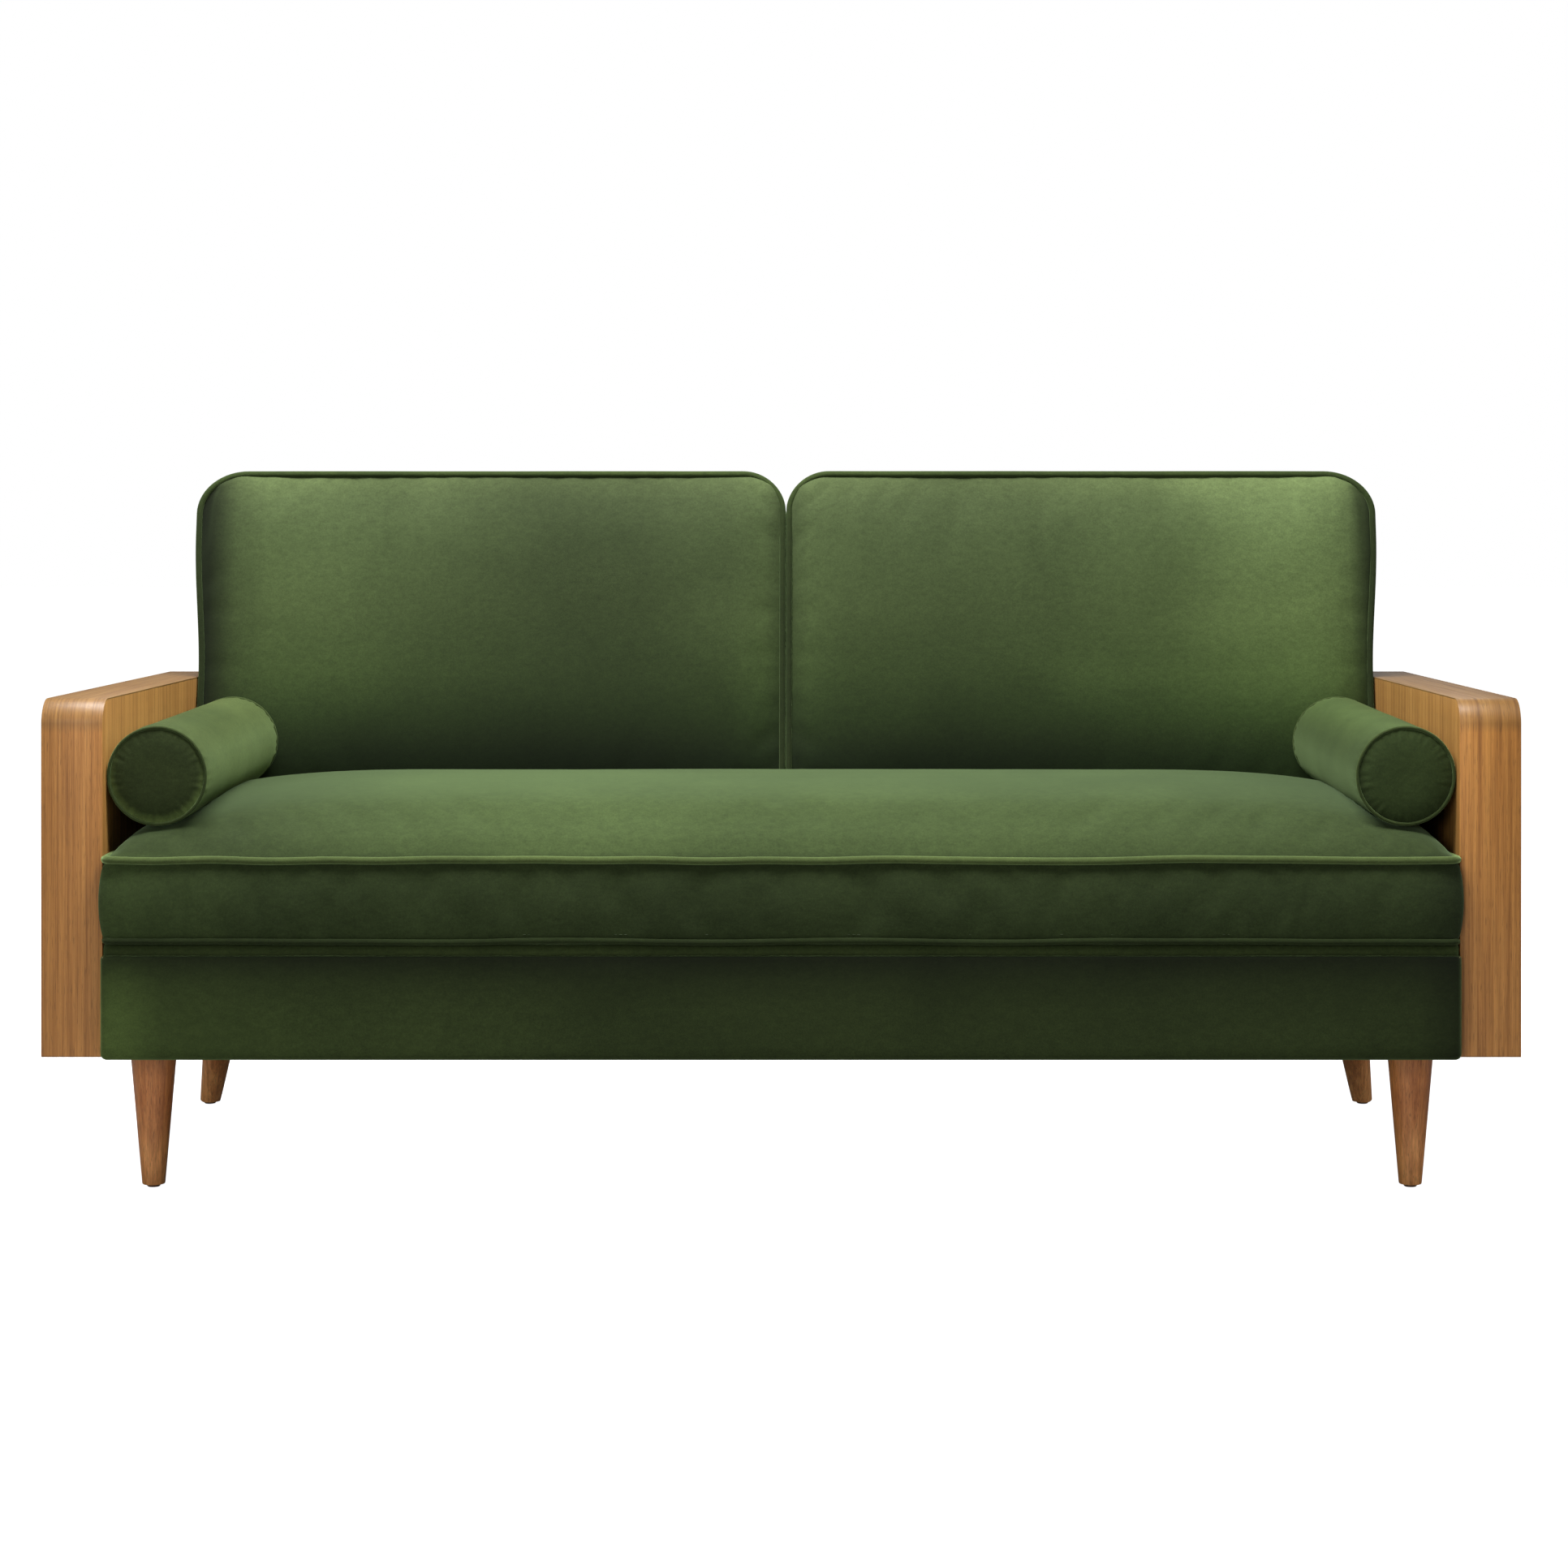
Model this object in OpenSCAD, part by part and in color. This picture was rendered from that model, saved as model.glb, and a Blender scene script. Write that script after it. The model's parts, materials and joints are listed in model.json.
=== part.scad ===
// Three-seat sofa bed with a split fold-down back, timber arms and two loose bolsters.
// X runs along the sofa, Y from front to rear, Z up. The origin is on the floor under the middle.

/* [Overall] */
// Width over the outer faces of the two arms
overall_w = 1760; // [1700:10:1840]
// Depth from the front of the seat box to the rear end of the arms
overall_d = 760; // [750:2:790]
// Height of the top of the upright backs above the floor
overall_h = 880; // [860:2:920]

/* [Base box] */
// Height of the underside of the box above the floor
box_bottom_z = 171; // [160:1:180]
// Height of the top edge of the box boards
box_top_z = 293; // [288:1:298]
// Depth of the box from front to rear
box_d = 672; // [665:1:690]
// Thickness of the box boards
board_t = 18; // [15:1:20]
// Thickness of the padded cloth over the box boards
cover_t = 3; // [2:0.5:4]
// Height of the beams inside the box
beam_h = 60; // [50:1:70]
// Distance between the front-to-rear beams
cross_beam_pitch = 400; // [350:10:450]

/* [Arms] */
// Thickness of an arm
arm_t = 73; // [65:1:80]
// Length of an arm from front to rear
arm_l = 740; // [720:5:745]
// Height of the top of an arm
arm_top_z = 597.5; // [580:0.5:620]
// Height of the underside of an arm
arm_bottom_z = 172; // [165:1:180]
// Radius of the bent front edge of an arm
arm_bend_r = 30; // [20:1:40]
// Thickness of an arm's side panels
arm_panel_t = 12; // [9:1:15]
// Thickness of the bent veneer over the front and top
veneer_t = 1.5; // [1:0.5:3]
// Width of the rails inside an arm
arm_rail_w = 45; // [42:1:60]

/* [Seat] */
// Width of the seat cushion
seat_w = 1608; // [1580:2:1610]
// Height of the cushion's upper seam
seat_seam_z = 408; // [400:1:415]
// Height of the highest point of the cushion
seat_crown_z = 478; // [465:1:485]
// Thickness of the rails under the cushion
seat_rail_t = 15; // [12:1:18]
// Width of the rails under the cushion
seat_rail_w = 60; // [50:1:70]
// Distance of the crown's highest line behind the cushion's front
crown_back = 350; // [330:5:370]
// Number of zigzag springs under the seat
spring_count = 6; // [4:1:8]
// Wire diameter of the springs
spring_wire_d = 4; // [3:0.5:4.5]

/* [Backs] */
// Gap between the two backs
back_gap = 3; // [2:0.5:6]
// Thickness of a back
back_t = 135; // [130:1:140]
// Angle that an upright back leans to the rear
back_lean = 11; // [9:0.5:13]
// Radius of a back's upper corners
back_corner_r = 60; // [40:1:80]
// Clearance between a back and an arm
back_side_gap = 4; // [3:0.5:8]
// Thickness of the padding round a back's frame
back_wall_t = 17; // [15:1:20]

/* [Hinges] */
// Distance of the hinge line behind the middle of the sofa
hinge_y = 224; // [222:1:228]
// Height of the hinge line
hinge_z = 399.5; // [396:0.5:402]
// Radius of the hinge pins
pin_r = 5; // [4:0.5:6]
// Running clearance round a hinge pin
pin_clearance = 0.05; // [0.02:0.01:0.1]
// Thickness of the hinge plates
plate_t = 5; // [4:0.5:6]

/* [Bolsters] */
// Radius of a bolster
bolster_r = 60; // [55:1:62]
// Length of a bolster
bolster_l = 494; // [440:2:494]
// Height of the middle of a bolster's front end
bolster_front_z = 505; // [502:1:510]
// Height of the middle of a bolster's rear end
bolster_rear_z = 514; // [512:1:520]

/* [Legs] */
// Diameter of a leg at the box
leg_top_d = 57; // [50:1:60]
// Diameter of a leg where its taper would meet the floor
leg_foot_d = 27; // [24:1:32]
// Height of the glides under the legs
glide_h = 3; // [2:0.5:8]

/* [Hidden] */
$fn = 96;

velvet = "#3f5c33";
oak = "#b58450";
leg_wood = "#a9673f";
pine = "#d8b98a";
foam_yellow = "#e8dcae";
steel = "#8b8f93";
black_cloth = "#26262a";
brown_plastic = "#6e4f3c";

// Main planes
front_y = -overall_d / 2;
rear_y = overall_d / 2;
arm_front_y = rear_y - arm_l;
arm_outer_x = overall_w / 2;
arm_inner_x = arm_outer_x - arm_t;
box_half_w = arm_inner_x - 0.5;
box_rear_y = front_y + box_d;
board_half_w = box_half_w - cover_t;
board_front_y = front_y + cover_t;
board_rear_y = box_rear_y - cover_t;
leg_plate_t = 3;
board_bottom_z = box_bottom_z + 1 + leg_plate_t;
beam_bottom_z = box_top_z - beam_h;

// Seat
seat_base_z = box_top_z + seat_rail_t;
seat_rear_y = hinge_y - back_t / 2 - 2.5;
seat_rail_front_y = front_y + 10;
seat_rail_rear_y = seat_rear_y - 4;
seat_rail_half_w = seat_w / 2 - 9;
foam_inset = 24;
foam_top_z = seat_seam_z - 8;
foam_bottom_z = seat_base_z + 14;
crown_y = front_y + crown_back;
crown_rise = seat_crown_z - seat_seam_z;
crown_r = (crown_back * crown_back + crown_rise * crown_rise) / (2 * crown_rise);
end_fall_l = 354;
end_fall_x = seat_w / 2 - end_fall_l;
end_fall_r = (end_fall_l * end_fall_l + crown_rise * crown_rise) / (2 * crown_rise);

// Hinge beam and deck
hinge_beam_w = 50;
hinge_beam_y = hinge_y - hinge_beam_w / 2;
deck_t = 6;
deck_top_z = box_top_z + deck_t;

// Backs, in a frame whose origin is the hinge line, with Z along the leaning back
back_inner_x = back_gap / 2;
back_outer_x = arm_inner_x - back_side_gap;
back_r = back_t / 2;
back_edge_r = 20;
back_edge_rise = (back_r - back_edge_r) * sin(back_lean) + back_edge_r;
back_top_s = (overall_h - hinge_z - back_edge_rise) / cos(back_lean) + back_edge_r;
slot_r = back_r + 4.5;
frame_s = slot_r + 8;
pocket_corner_r = 25;
frame_top_s = back_top_s - back_wall_t - 20;
frame_front_n = 17.5;
frame_rear_n = 60;
stile_w = 40;
stile_inner_x = back_inner_x + back_wall_t + 1;
stile_outer_x = back_outer_x - back_wall_t - 1;
rail_h = 45;

// Hinges: where the two plates of a hinge meet, and the side on which its stile stands
plate_gap = 1;
hinge_inner_x = stile_inner_x + stile_w + plate_t + plate_gap / 2;
hinge_outer_x = stile_outer_x - stile_w - plate_t - plate_gap / 2;
HINGES = [[hinge_inner_x, -1], [hinge_outer_x, 1]];
slot_w = 24;
eye_r = 20;
leaf_top_s = frame_s + 150;
leaf_bolt_s = [frame_s + 60, frame_s + 125];
leaf_bolt_r = 4;
leaf_bolt_l = 35;
foot_t = 4;

// Arm bolts
arm_bolt_r = 4;
arm_bolt_y = [-290, -60, 150];
arm_bolt_z = 262;
arm_bolt_tip = 10;

// Legs: the top and foot centres of the right-hand legs
leg_plate_z = box_bottom_z + 1;
FRONT_LEG = [[765, front_y + 110, leg_plate_z], [765, front_y + 110, 0]];
REAR_LEG = [[776, front_y + 637, leg_plate_z], [804, front_y + 661, 0]];
LEGS = [FRONT_LEG, REAR_LEG];
leg_plate_w = 56;
hanger_r = 4;
hanger_below = 45;
hanger_above = 38;
glide_r = 8;
glide_bevel = 1;
glide_stem_r = 3;
glide_stem_l = 14;

// Bolsters
bolster_x = arm_inner_x - bolster_r - 1;
bolster_front_y = arm_front_y + 16;
bolster_rise = bolster_rear_z - bolster_front_z;
bolster_cover_t = 3;

// ---------- shared shapes ----------

// Extrudes a Y-Z outline along X
module along_x(x0, x1) {
    translate([x0, 0, 0])
        rotate([90, 0, 90])
            linear_extrude(height = x1 - x0)
                children();
}

// Extrudes an X-Z outline along Y
module along_y(y0, y1) {
    translate([0, y1, 0])
        rotate([90, 0, 0])
            linear_extrude(height = y1 - y0)
                children();
}

// A flat rectangle between two corners
module area(low, high) {
    translate(low)
        square([high[0] - low[0], high[1] - low[1]]);
}

// A box between two corners
module box(low, high) {
    translate(low)
        cube([high[0] - low[0], high[1] - low[1], high[2] - low[2]]);
}

// Draws the right-hand shape and its mirror image
module both_sides() {
    children();
    mirror([1, 0, 0])
        children();
}

// Draws the right-hand shape on the side that is asked for: 1 is right, -1 is left
module on_side(side) {
    mirror([side < 0 ? 1 : 0, 0, 0])
        children();
}

// Turns a shape from Z onto the line from one point to another
module from_to(a, b) {
    d = b - a;
    translate(a)
        rotate([0, acos(d[2] / norm(d)), atan2(d[1], d[0])])
            children();
}

// ---------- base box ----------

module end_board() {
    difference() {
        box([board_half_w - board_t, board_front_y, board_bottom_z],
            [board_half_w, board_rear_y, box_top_z]);
        arm_bolt_shafts(arm_bolt_r);
    }
}

module cross_board(y0) {
    inner = board_half_w - board_t;
    box([-inner, y0, board_bottom_z], [inner, y0 + board_t, box_top_z]);
}

module base_front_board() {
    color(pine)
        cross_board(board_front_y);
}

module base_rear_board() {
    color(pine)
        cross_board(board_rear_y - board_t);
}

module base_left_board() {
    color(pine)
        on_side(-1)
            end_board();
}

module base_right_board() {
    color(pine)
        end_board();
}

module cross_beams() {
    w = 25;
    color(pine)
        for (i = [-1:1])
            translate([i * cross_beam_pitch, 0, 0])
                box([-w / 2, board_front_y + board_t, beam_bottom_z],
                    [w / 2, hinge_beam_y, box_top_z]);
}

module corner_blocks() {
    inner = board_half_w - board_t;
    block_w = 75;
    front_l = 129;
    rear_l = 88;
    front = board_front_y + board_t;
    rear = board_rear_y - board_t;
    color(pine)
        both_sides()
            difference() {
                union() {
                    box([inner - block_w, front, board_bottom_z],
                        [inner, front + front_l, beam_bottom_z]);
                    box([inner - block_w, rear - rear_l, board_bottom_z],
                        [inner, rear, beam_bottom_z]);
                }
                hanger_bolt_shafts();
            }
}

module hinge_beam() {
    inner = board_half_w - board_t;
    color(pine)
        difference() {
            box([-inner, hinge_beam_y, beam_bottom_z],
                [inner, hinge_beam_y + hinge_beam_w, box_top_z]);
            all_bracket_screw_shafts();
        }
}

module rear_deck() {
    color(pine)
        difference() {
            box([-board_half_w, seat_rail_rear_y + 1, box_top_z],
                [board_half_w, board_rear_y, deck_top_z]);
            all_bracket_screw_shafts();
        }
}

// Padded cloth round the four boards, turned in under them
module base_cover() {
    turn_in = 28;
    color(velvet)
        difference() {
            box([-box_half_w, front_y, box_bottom_z], [box_half_w, box_rear_y, box_top_z]);
            box([-board_half_w, board_front_y, board_bottom_z],
                [board_half_w, board_rear_y, box_top_z + 1]);
            box([-board_half_w + turn_in, board_front_y + turn_in, box_bottom_z - 1],
                [board_half_w - turn_in, board_rear_y - turn_in, box_top_z]);
            leg_openings();
            both_sides()
                arm_bolt_shafts(arm_bolt_r + 0.5);
        }
}

// Black cloth that closes the underside of the box
module dust_cover() {
    edge = 28.3;
    color(black_cloth)
        difference() {
            box([-board_half_w + edge, board_front_y + edge, board_bottom_z - 1.2],
                [board_half_w - edge, board_rear_y - edge, board_bottom_z]);
            leg_openings();
        }
}

// Room for the legs and their plates in the cloth under the box
module leg_openings() {
    half = leg_plate_w / 2 + 2;
    both_sides()
        for (leg = LEGS)
            translate([leg[0][0], leg[0][1], 0])
                box([-half, -half, box_bottom_z - 2], [half, half, board_bottom_z + 0.01]);
}

// ---------- seat ----------

module seat_front_rail() {
    color(pine)
        box([-seat_rail_half_w, seat_rail_front_y, box_top_z],
            [seat_rail_half_w, seat_rail_front_y + seat_rail_w, seat_base_z]);
}

module seat_rear_rail() {
    color(pine)
        box([-seat_rail_half_w, seat_rail_rear_y - seat_rail_w, box_top_z],
            [seat_rail_half_w, seat_rail_rear_y, seat_base_z]);
}

module seat_side_rails() {
    color(pine)
        both_sides()
            box([seat_rail_half_w - seat_rail_w, seat_rail_front_y + seat_rail_w, box_top_z],
                [seat_rail_half_w, seat_rail_rear_y - seat_rail_w, seat_base_z]);
}

// Zigzag wire springs that run from the front rail to the rear rail
spring_start_y = seat_rail_front_y + seat_rail_w + 3;
spring_end_y = seat_rail_rear_y - seat_rail_w - 3;
spring_bends = 11;
spring_pitch = (spring_end_y - spring_start_y) / (spring_bends + 1);
spring_z = seat_base_z - 5;
spring_half_w = 22;

module spring_bend(side) {
    on_side(side)
        translate([spring_half_w, 0, 0])
            rotate([0, 0, -90])
                rotate_extrude(angle = 180)
                    translate([spring_pitch / 2, 0])
                        circle(d = spring_wire_d);
}

module zigzag_spring() {
    for (i = [0:spring_bends]) {
        y = spring_start_y + i * spring_pitch;
        translate([0, y, spring_z]) {
            translate([-spring_half_w, 0, 0])
                rotate([0, 90, 0])
                    cylinder(d = spring_wire_d, h = 2 * spring_half_w);
            if (i < spring_bends)
                translate([0, spring_pitch / 2, 0])
                    spring_bend(i % 2 == 0 ? 1 : -1);
        }
    }
}

module at_springs() {
    pitch = 2 * seat_rail_half_w / (spring_count + 1);
    for (i = [1:spring_count])
        translate([-seat_rail_half_w + i * pitch, 0, 0])
            children();
}

module seat_springs() {
    color(steel)
        at_springs()
            zigzag_spring();
}

// Bent strips that hold the spring ends on the rails
module spring_clips() {
    w = 20;
    strip = 1.5;
    low = spring_z - spring_wire_d / 2 - strip;
    high = spring_z + spring_wire_d / 2;
    color(steel)
        at_springs() {
            for (end = [[spring_start_y, -1], [spring_end_y, 1]])
                translate([0, end[0], 0])
                    mirror([0, end[1] > 0 ? 0 : 1, 0]) {
                        box([-w / 2, -4, low], [w / 2, 3, low + strip]);
                        box([-w / 2, -4, high], [w / 2, 3, high + strip]);
                        box([-w / 2, -4 - strip, low], [w / 2, -4, high + strip]);
                    }
        }
}

module seat_felt_pad() {
    t = 1;
    color(black_cloth)
        box([-seat_rail_half_w + seat_rail_w + 1, seat_rail_front_y + seat_rail_w + 1,
             seat_base_z - t],
            [seat_rail_half_w - seat_rail_w - 1, seat_rail_rear_y - seat_rail_w - 1,
             seat_base_z]);
}

// Rolled cloth that hides the front rail between the cushion and the box
module seat_lip_cover() {
    r = seat_rail_t / 2 - 0.3;
    color(velvet)
        along_x(-seat_w / 2 + 1, seat_w / 2 - 1)
            translate([seat_rail_front_y, box_top_z + seat_rail_t / 2])
                intersection() {
                    circle(r = r);
                    area([-r, -r], [0, r]);
                }
}

module foam_block() {
    box([-seat_w / 2 + foam_inset, front_y + foam_inset, foam_bottom_z],
        [seat_w / 2 - foam_inset, seat_rear_y - foam_inset, foam_top_z]);
}

module seat_foam() {
    color(foam_yellow)
        foam_block();
}

// Outline of the crown from front to rear
module seat_depth_outline() {
    intersection() {
        area([front_y, seat_base_z], [seat_rear_y, seat_crown_z]);
        translate([crown_y, seat_crown_z - crown_r])
            circle(r = crown_r);
    }
}

// Outline of the crown from end to end: level in the middle and falling at both ends
module seat_width_outline() {
    area([-end_fall_x, seat_base_z], [end_fall_x, seat_crown_z]);
    for (side = [-1, 1])
        mirror([side < 0 ? 1 : 0, 0])
            intersection() {
                area([end_fall_x - 1, seat_base_z], [seat_w / 2, seat_crown_z]);
                translate([end_fall_x, seat_crown_z - end_fall_r])
                    circle(r = end_fall_r);
            }
}

module seat_cushion() {
    color(velvet)
        difference() {
            intersection() {
                along_x(-seat_w / 2, seat_w / 2)
                    seat_depth_outline();
                along_y(front_y, seat_rear_y)
                    seat_width_outline();
            }
            foam_block();
        }
}

// ---------- arms ----------

// Side outline of an arm, drawn in by an inset, with the bent edge at the front and top
module arm_outline(inset) {
    r = arm_bend_r - inset;
    y0 = arm_front_y + inset;
    y1 = rear_y - inset;
    z0 = arm_bottom_z + inset;
    z1 = arm_top_z - inset;
    area([y0 + r, z0], [y1, z1]);
    area([y0, z0], [y0 + r, z1 - r]);
    translate([y0 + r, z1 - r])
        circle(r = r);
}

module arm_outer_panel() {
    color(oak)
        along_x(arm_outer_x - arm_panel_t, arm_outer_x)
            arm_outline(veneer_t);
}

module arm_inner_panel() {
    color(oak)
        difference() {
            along_x(arm_inner_x, arm_inner_x + arm_panel_t)
                arm_outline(veneer_t);
            arm_bolt_shafts(arm_bolt_r);
        }
}

// Four rails between the side panels, each a piece of its own with a glue line between
module arm_core() {
    x0 = arm_inner_x + arm_panel_t;
    x1 = arm_outer_x - arm_panel_t;
    y0 = arm_front_y + veneer_t;
    y1 = rear_y - veneer_t;
    z0 = arm_bottom_z + veneer_t;
    z1 = arm_top_z - veneer_t;
    glue = 0.2;
    post_z0 = z0 + arm_rail_w + glue;
    post_z1 = z1 - arm_rail_w - glue;
    color(pine) {
        along_x(x0, x1)
            intersection() {
                arm_outline(veneer_t);
                area([y0, z1 - arm_rail_w], [y1, z1]);
            }
        box([x0, y0, z0], [x1, y1, z0 + arm_rail_w]);
        box([x0, y0, post_z0], [x1, y0 + arm_rail_w, post_z1]);
        box([x0, y1 - arm_rail_w, post_z0], [x1, y1, post_z1]);
    }
}

// Thin bent sheet that runs up the front, over the bend and along the top
module arm_veneer_wrap() {
    color(oak)
        along_x(arm_inner_x, arm_outer_x)
            intersection() {
                difference() {
                    arm_outline(0);
                    arm_outline(veneer_t);
                }
                union() {
                    area([arm_front_y, arm_bottom_z], [arm_front_y + arm_bend_r, arm_top_z]);
                    area([arm_front_y, arm_top_z - arm_bend_r], [rear_y, arm_top_z]);
                }
                area([arm_front_y, arm_bottom_z + veneer_t], [rear_y - veneer_t, arm_top_z]);
            }
}

// Veneer strips over the rear edge and the underside
module arm_edge_strips() {
    gap = 0.1;
    color(oak) {
        box([arm_inner_x, rear_y - veneer_t, arm_bottom_z + veneer_t + gap],
            [arm_outer_x, rear_y, arm_top_z]);
        box([arm_inner_x, arm_front_y, arm_bottom_z],
            [arm_outer_x, rear_y, arm_bottom_z + veneer_t]);
    }
}

module arm_left_outer_panel() { on_side(-1) arm_outer_panel(); }
module arm_left_inner_panel() { on_side(-1) arm_inner_panel(); }
module arm_left_core() { on_side(-1) arm_core(); }
module arm_left_veneer_wrap() { on_side(-1) arm_veneer_wrap(); }
module arm_left_edge_strips() { on_side(-1) arm_edge_strips(); }
module arm_right_outer_panel() { arm_outer_panel(); }
module arm_right_inner_panel() { arm_inner_panel(); }
module arm_right_core() { arm_core(); }
module arm_right_veneer_wrap() { arm_veneer_wrap(); }
module arm_right_edge_strips() { arm_edge_strips(); }

// Shafts of the three bolts that hold the right-hand arm to the box
module arm_bolt_shafts(r) {
    start = board_half_w - board_t - 1;
    for (y = arm_bolt_y)
        translate([start, y, arm_bolt_z])
            rotate([0, 90, 0])
                cylinder(r = r, h = arm_inner_x + arm_bolt_tip - start);
}

module arm_bolts() {
    face = board_half_w - board_t;
    washer_t = 2;
    head_h = 5;
    color(steel)
        both_sides() {
            arm_bolt_shafts(arm_bolt_r);
            for (y = arm_bolt_y)
                translate([face, y, arm_bolt_z])
                    rotate([0, -90, 0]) {
                        cylinder(r = 10, h = washer_t);
                        translate([0, 0, washer_t])
                            cylinder(r = 7.5, h = head_h, $fn = 6);
                    }
        }
}

// ---------- legs ----------

// A tapered round leg, cut level at the box and above its glide. The turn keeps the seam off the cuts' ends
module leg(ends) {
    top = ends[0];
    foot = ends[1];
    reach = norm(top - foot);
    over = 20;
    block = 200;
    seam_turn = 40;
    taper = (leg_top_d - leg_foot_d) / 2 / reach;
    color(leg_wood)
        difference() {
            from_to(foot, top)
                rotate([0, 0, seam_turn])
                    translate([0, 0, -over])
                        cylinder(h = reach + 2 * over, r1 = leg_foot_d / 2 - taper * over,
                                 r2 = leg_top_d / 2 + taper * over);
            translate([foot[0] - block / 2, foot[1] - block / 2, top[2]])
                cube(block);
            translate([foot[0] - block / 2, foot[1] - block / 2, glide_h - block])
                cube(block);
            hanger_bolt_shaft(ends);
            glide_stem(ends);
        }
}

module leg_front_left() { on_side(-1) leg(FRONT_LEG); }
module leg_front_right() { leg(FRONT_LEG); }
module leg_rear_left() { on_side(-1) leg(REAR_LEG); }
module leg_rear_right() { leg(REAR_LEG); }

// A hanger bolt stands straight up, square to its plate, in a splayed leg too
module hanger_bolt_shaft(ends) {
    translate(ends[0] - [0, 0, hanger_below])
        cylinder(r = hanger_r, h = hanger_below + hanger_above);
}

module hanger_bolt_shafts() {
    for (leg = LEGS)
        hanger_bolt_shaft(leg);
}

module hanger_bolts() {
    color(steel)
        both_sides()
            hanger_bolt_shafts();
}

module leg_plates() {
    half = leg_plate_w / 2;
    color(steel)
        both_sides()
            difference() {
                for (leg = LEGS)
                    translate([leg[0][0], leg[0][1], leg_plate_z])
                        box([-half, -half, 0], [half, half, leg_plate_t]);
                hanger_bolt_shafts();
            }
}

// The middle of a glide, on the floor under the middle of the leg's cut foot
function glide_at(ends) =
    let (share = glide_h / ends[0][2])
    [for (k = [0, 1]) ends[1][k] + (ends[0][k] - ends[1][k]) * share];

// The glide's stem stands straight up inside the foot
module glide_stem(ends) {
    translate(glide_at(ends))
        cylinder(r = glide_stem_r, h = glide_h + glide_stem_l);
}

module leg_glides() {
    color(brown_plastic)
        both_sides()
            for (leg = LEGS) {
                glide_stem(leg);
                translate(glide_at(leg)) {
                    cylinder(r1 = glide_r - glide_bevel, r2 = glide_r, h = glide_bevel);
                    translate([0, 0, glide_bevel])
                        cylinder(r = glide_r, h = glide_h - glide_bevel);
                }
            }
}

// ---------- hinges ----------

// Places a right-hand hinge: local +X points to the stile that the leaf is bolted to
module at_hinges() {
    for (h = HINGES)
        translate([h[0], 0, 0])
            on_side(h[1])
                children();
}

// Plate with an eye round the hinge line, standing on a foot that is screwed to the deck
module hinge_bracket() {
    plate_x0 = -plate_gap / 2 - plate_t;
    foot_w = 34;
    foot_half_l = 30;
    difference() {
        union() {
            along_x(plate_x0, -plate_gap / 2)
                translate([hinge_y, 0]) {
                    translate([0, hinge_z])
                        circle(r = eye_r);
                    area([-eye_r, deck_top_z], [eye_r, hinge_z]);
                }
            box([plate_x0 + plate_t - foot_w, hinge_y - foot_half_l, deck_top_z],
                [plate_x0 + plate_t, hinge_y + foot_half_l, deck_top_z + foot_t]);
        }
        translate([plate_x0 - 1, hinge_y, hinge_z])
            rotate([0, 90, 0])
                cylinder(r = pin_r, h = plate_t + 2);
        bracket_screw_shafts();
    }
}

module bracket_screw_shafts() {
    for (dy = [-18, 18])
        translate([-22, hinge_y + dy, deck_top_z + foot_t - 35])
            cylinder(r = 2.5, h = 35);
}

module all_bracket_screw_shafts() {
    both_sides()
        at_hinges()
            bracket_screw_shafts();
}

module hinge_brackets() {
    color(steel)
        both_sides()
            at_hinges()
                hinge_bracket();
}

module hinge_pins() {
    head_r = 8;
    head_t = 2.5;
    reach = plate_gap / 2 + plate_t;
    color(steel)
        both_sides()
            at_hinges()
                translate([0, hinge_y, hinge_z])
                    rotate([0, 90, 0]) {
                        translate([0, 0, -reach])
                            cylinder(r = pin_r, h = 2 * reach + 0.5);
                        translate([0, 0, -reach - head_t])
                            cylinder(r = head_r, h = head_t);
                        translate([0, 0, reach + 0.5])
                            cylinder(r = head_r, h = head_t);
                    }
}

module bracket_screws() {
    color(steel)
        both_sides()
            at_hinges() {
                bracket_screw_shafts();
                for (dy = [-18, 18])
                    translate([-22, hinge_y + dy, deck_top_z + foot_t])
                        cylinder(r = 5, h = 3);
            }
}

// ---------- backs ----------

// Places a right-hand back, drawn upright round the hinge line, at its lean
module at_back(side) {
    on_side(side)
        translate([0, hinge_y, hinge_z])
            rotate([-back_lean, 0, 0])
                children();
}

// Front outline of a back, or of what is inset in it: square below, with two round upper corners
module back_outline(inset, low, r) {
    x0 = back_inner_x + inset;
    x1 = back_outer_x - inset;
    top = back_top_s - inset;
    area([x0, low], [x1, top - r]);
    area([x0 + r, low], [x1 - r, top]);
    for (x = [x0 + r, x1 - r])
        translate([x, top - r])
            circle(r = r);
}

// Side outline of a back: a half-round lower end about the hinge line and soft upper edges
module back_side_outline() {
    r = back_edge_r;
    circle(r = back_r);
    area([-back_r, 0], [back_r, back_top_s - r]);
    area([-back_r + r, 0], [back_r - r, back_top_s]);
    for (n = [-back_r + r, back_r - r])
        translate([n, back_top_s - r])
            circle(r = r);
}

module back_cushion() {
    color(velvet)
        difference() {
            intersection() {
                along_y(-back_r, back_r)
                    back_outline(0, -back_r, back_corner_r);
                along_x(back_inner_x, back_outer_x)
                    back_side_outline();
            }
            back_pocket();
            at_hinges()
                hinge_slot();
        }
}

// Room inside a back for its foam, frame and rear panel
module back_pocket() {
    along_y(-back_r + back_wall_t, back_r + 1)
        back_outline(back_wall_t, frame_s - 4, pocket_corner_r);
}

// Slit in the lower end of a back for the two plates of a hinge
module hinge_slot() {
    along_x(-slot_w / 2, slot_w / 2) {
        circle(r = slot_r);
        area([-5, 0], [frame_rear_n + 2, frame_s]);
    }
}

module back_foam() {
    color(foam_yellow)
        along_y(-back_r + back_wall_t, 13)
            back_outline(back_wall_t + 0.5, frame_s, pocket_corner_r);
}

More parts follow.
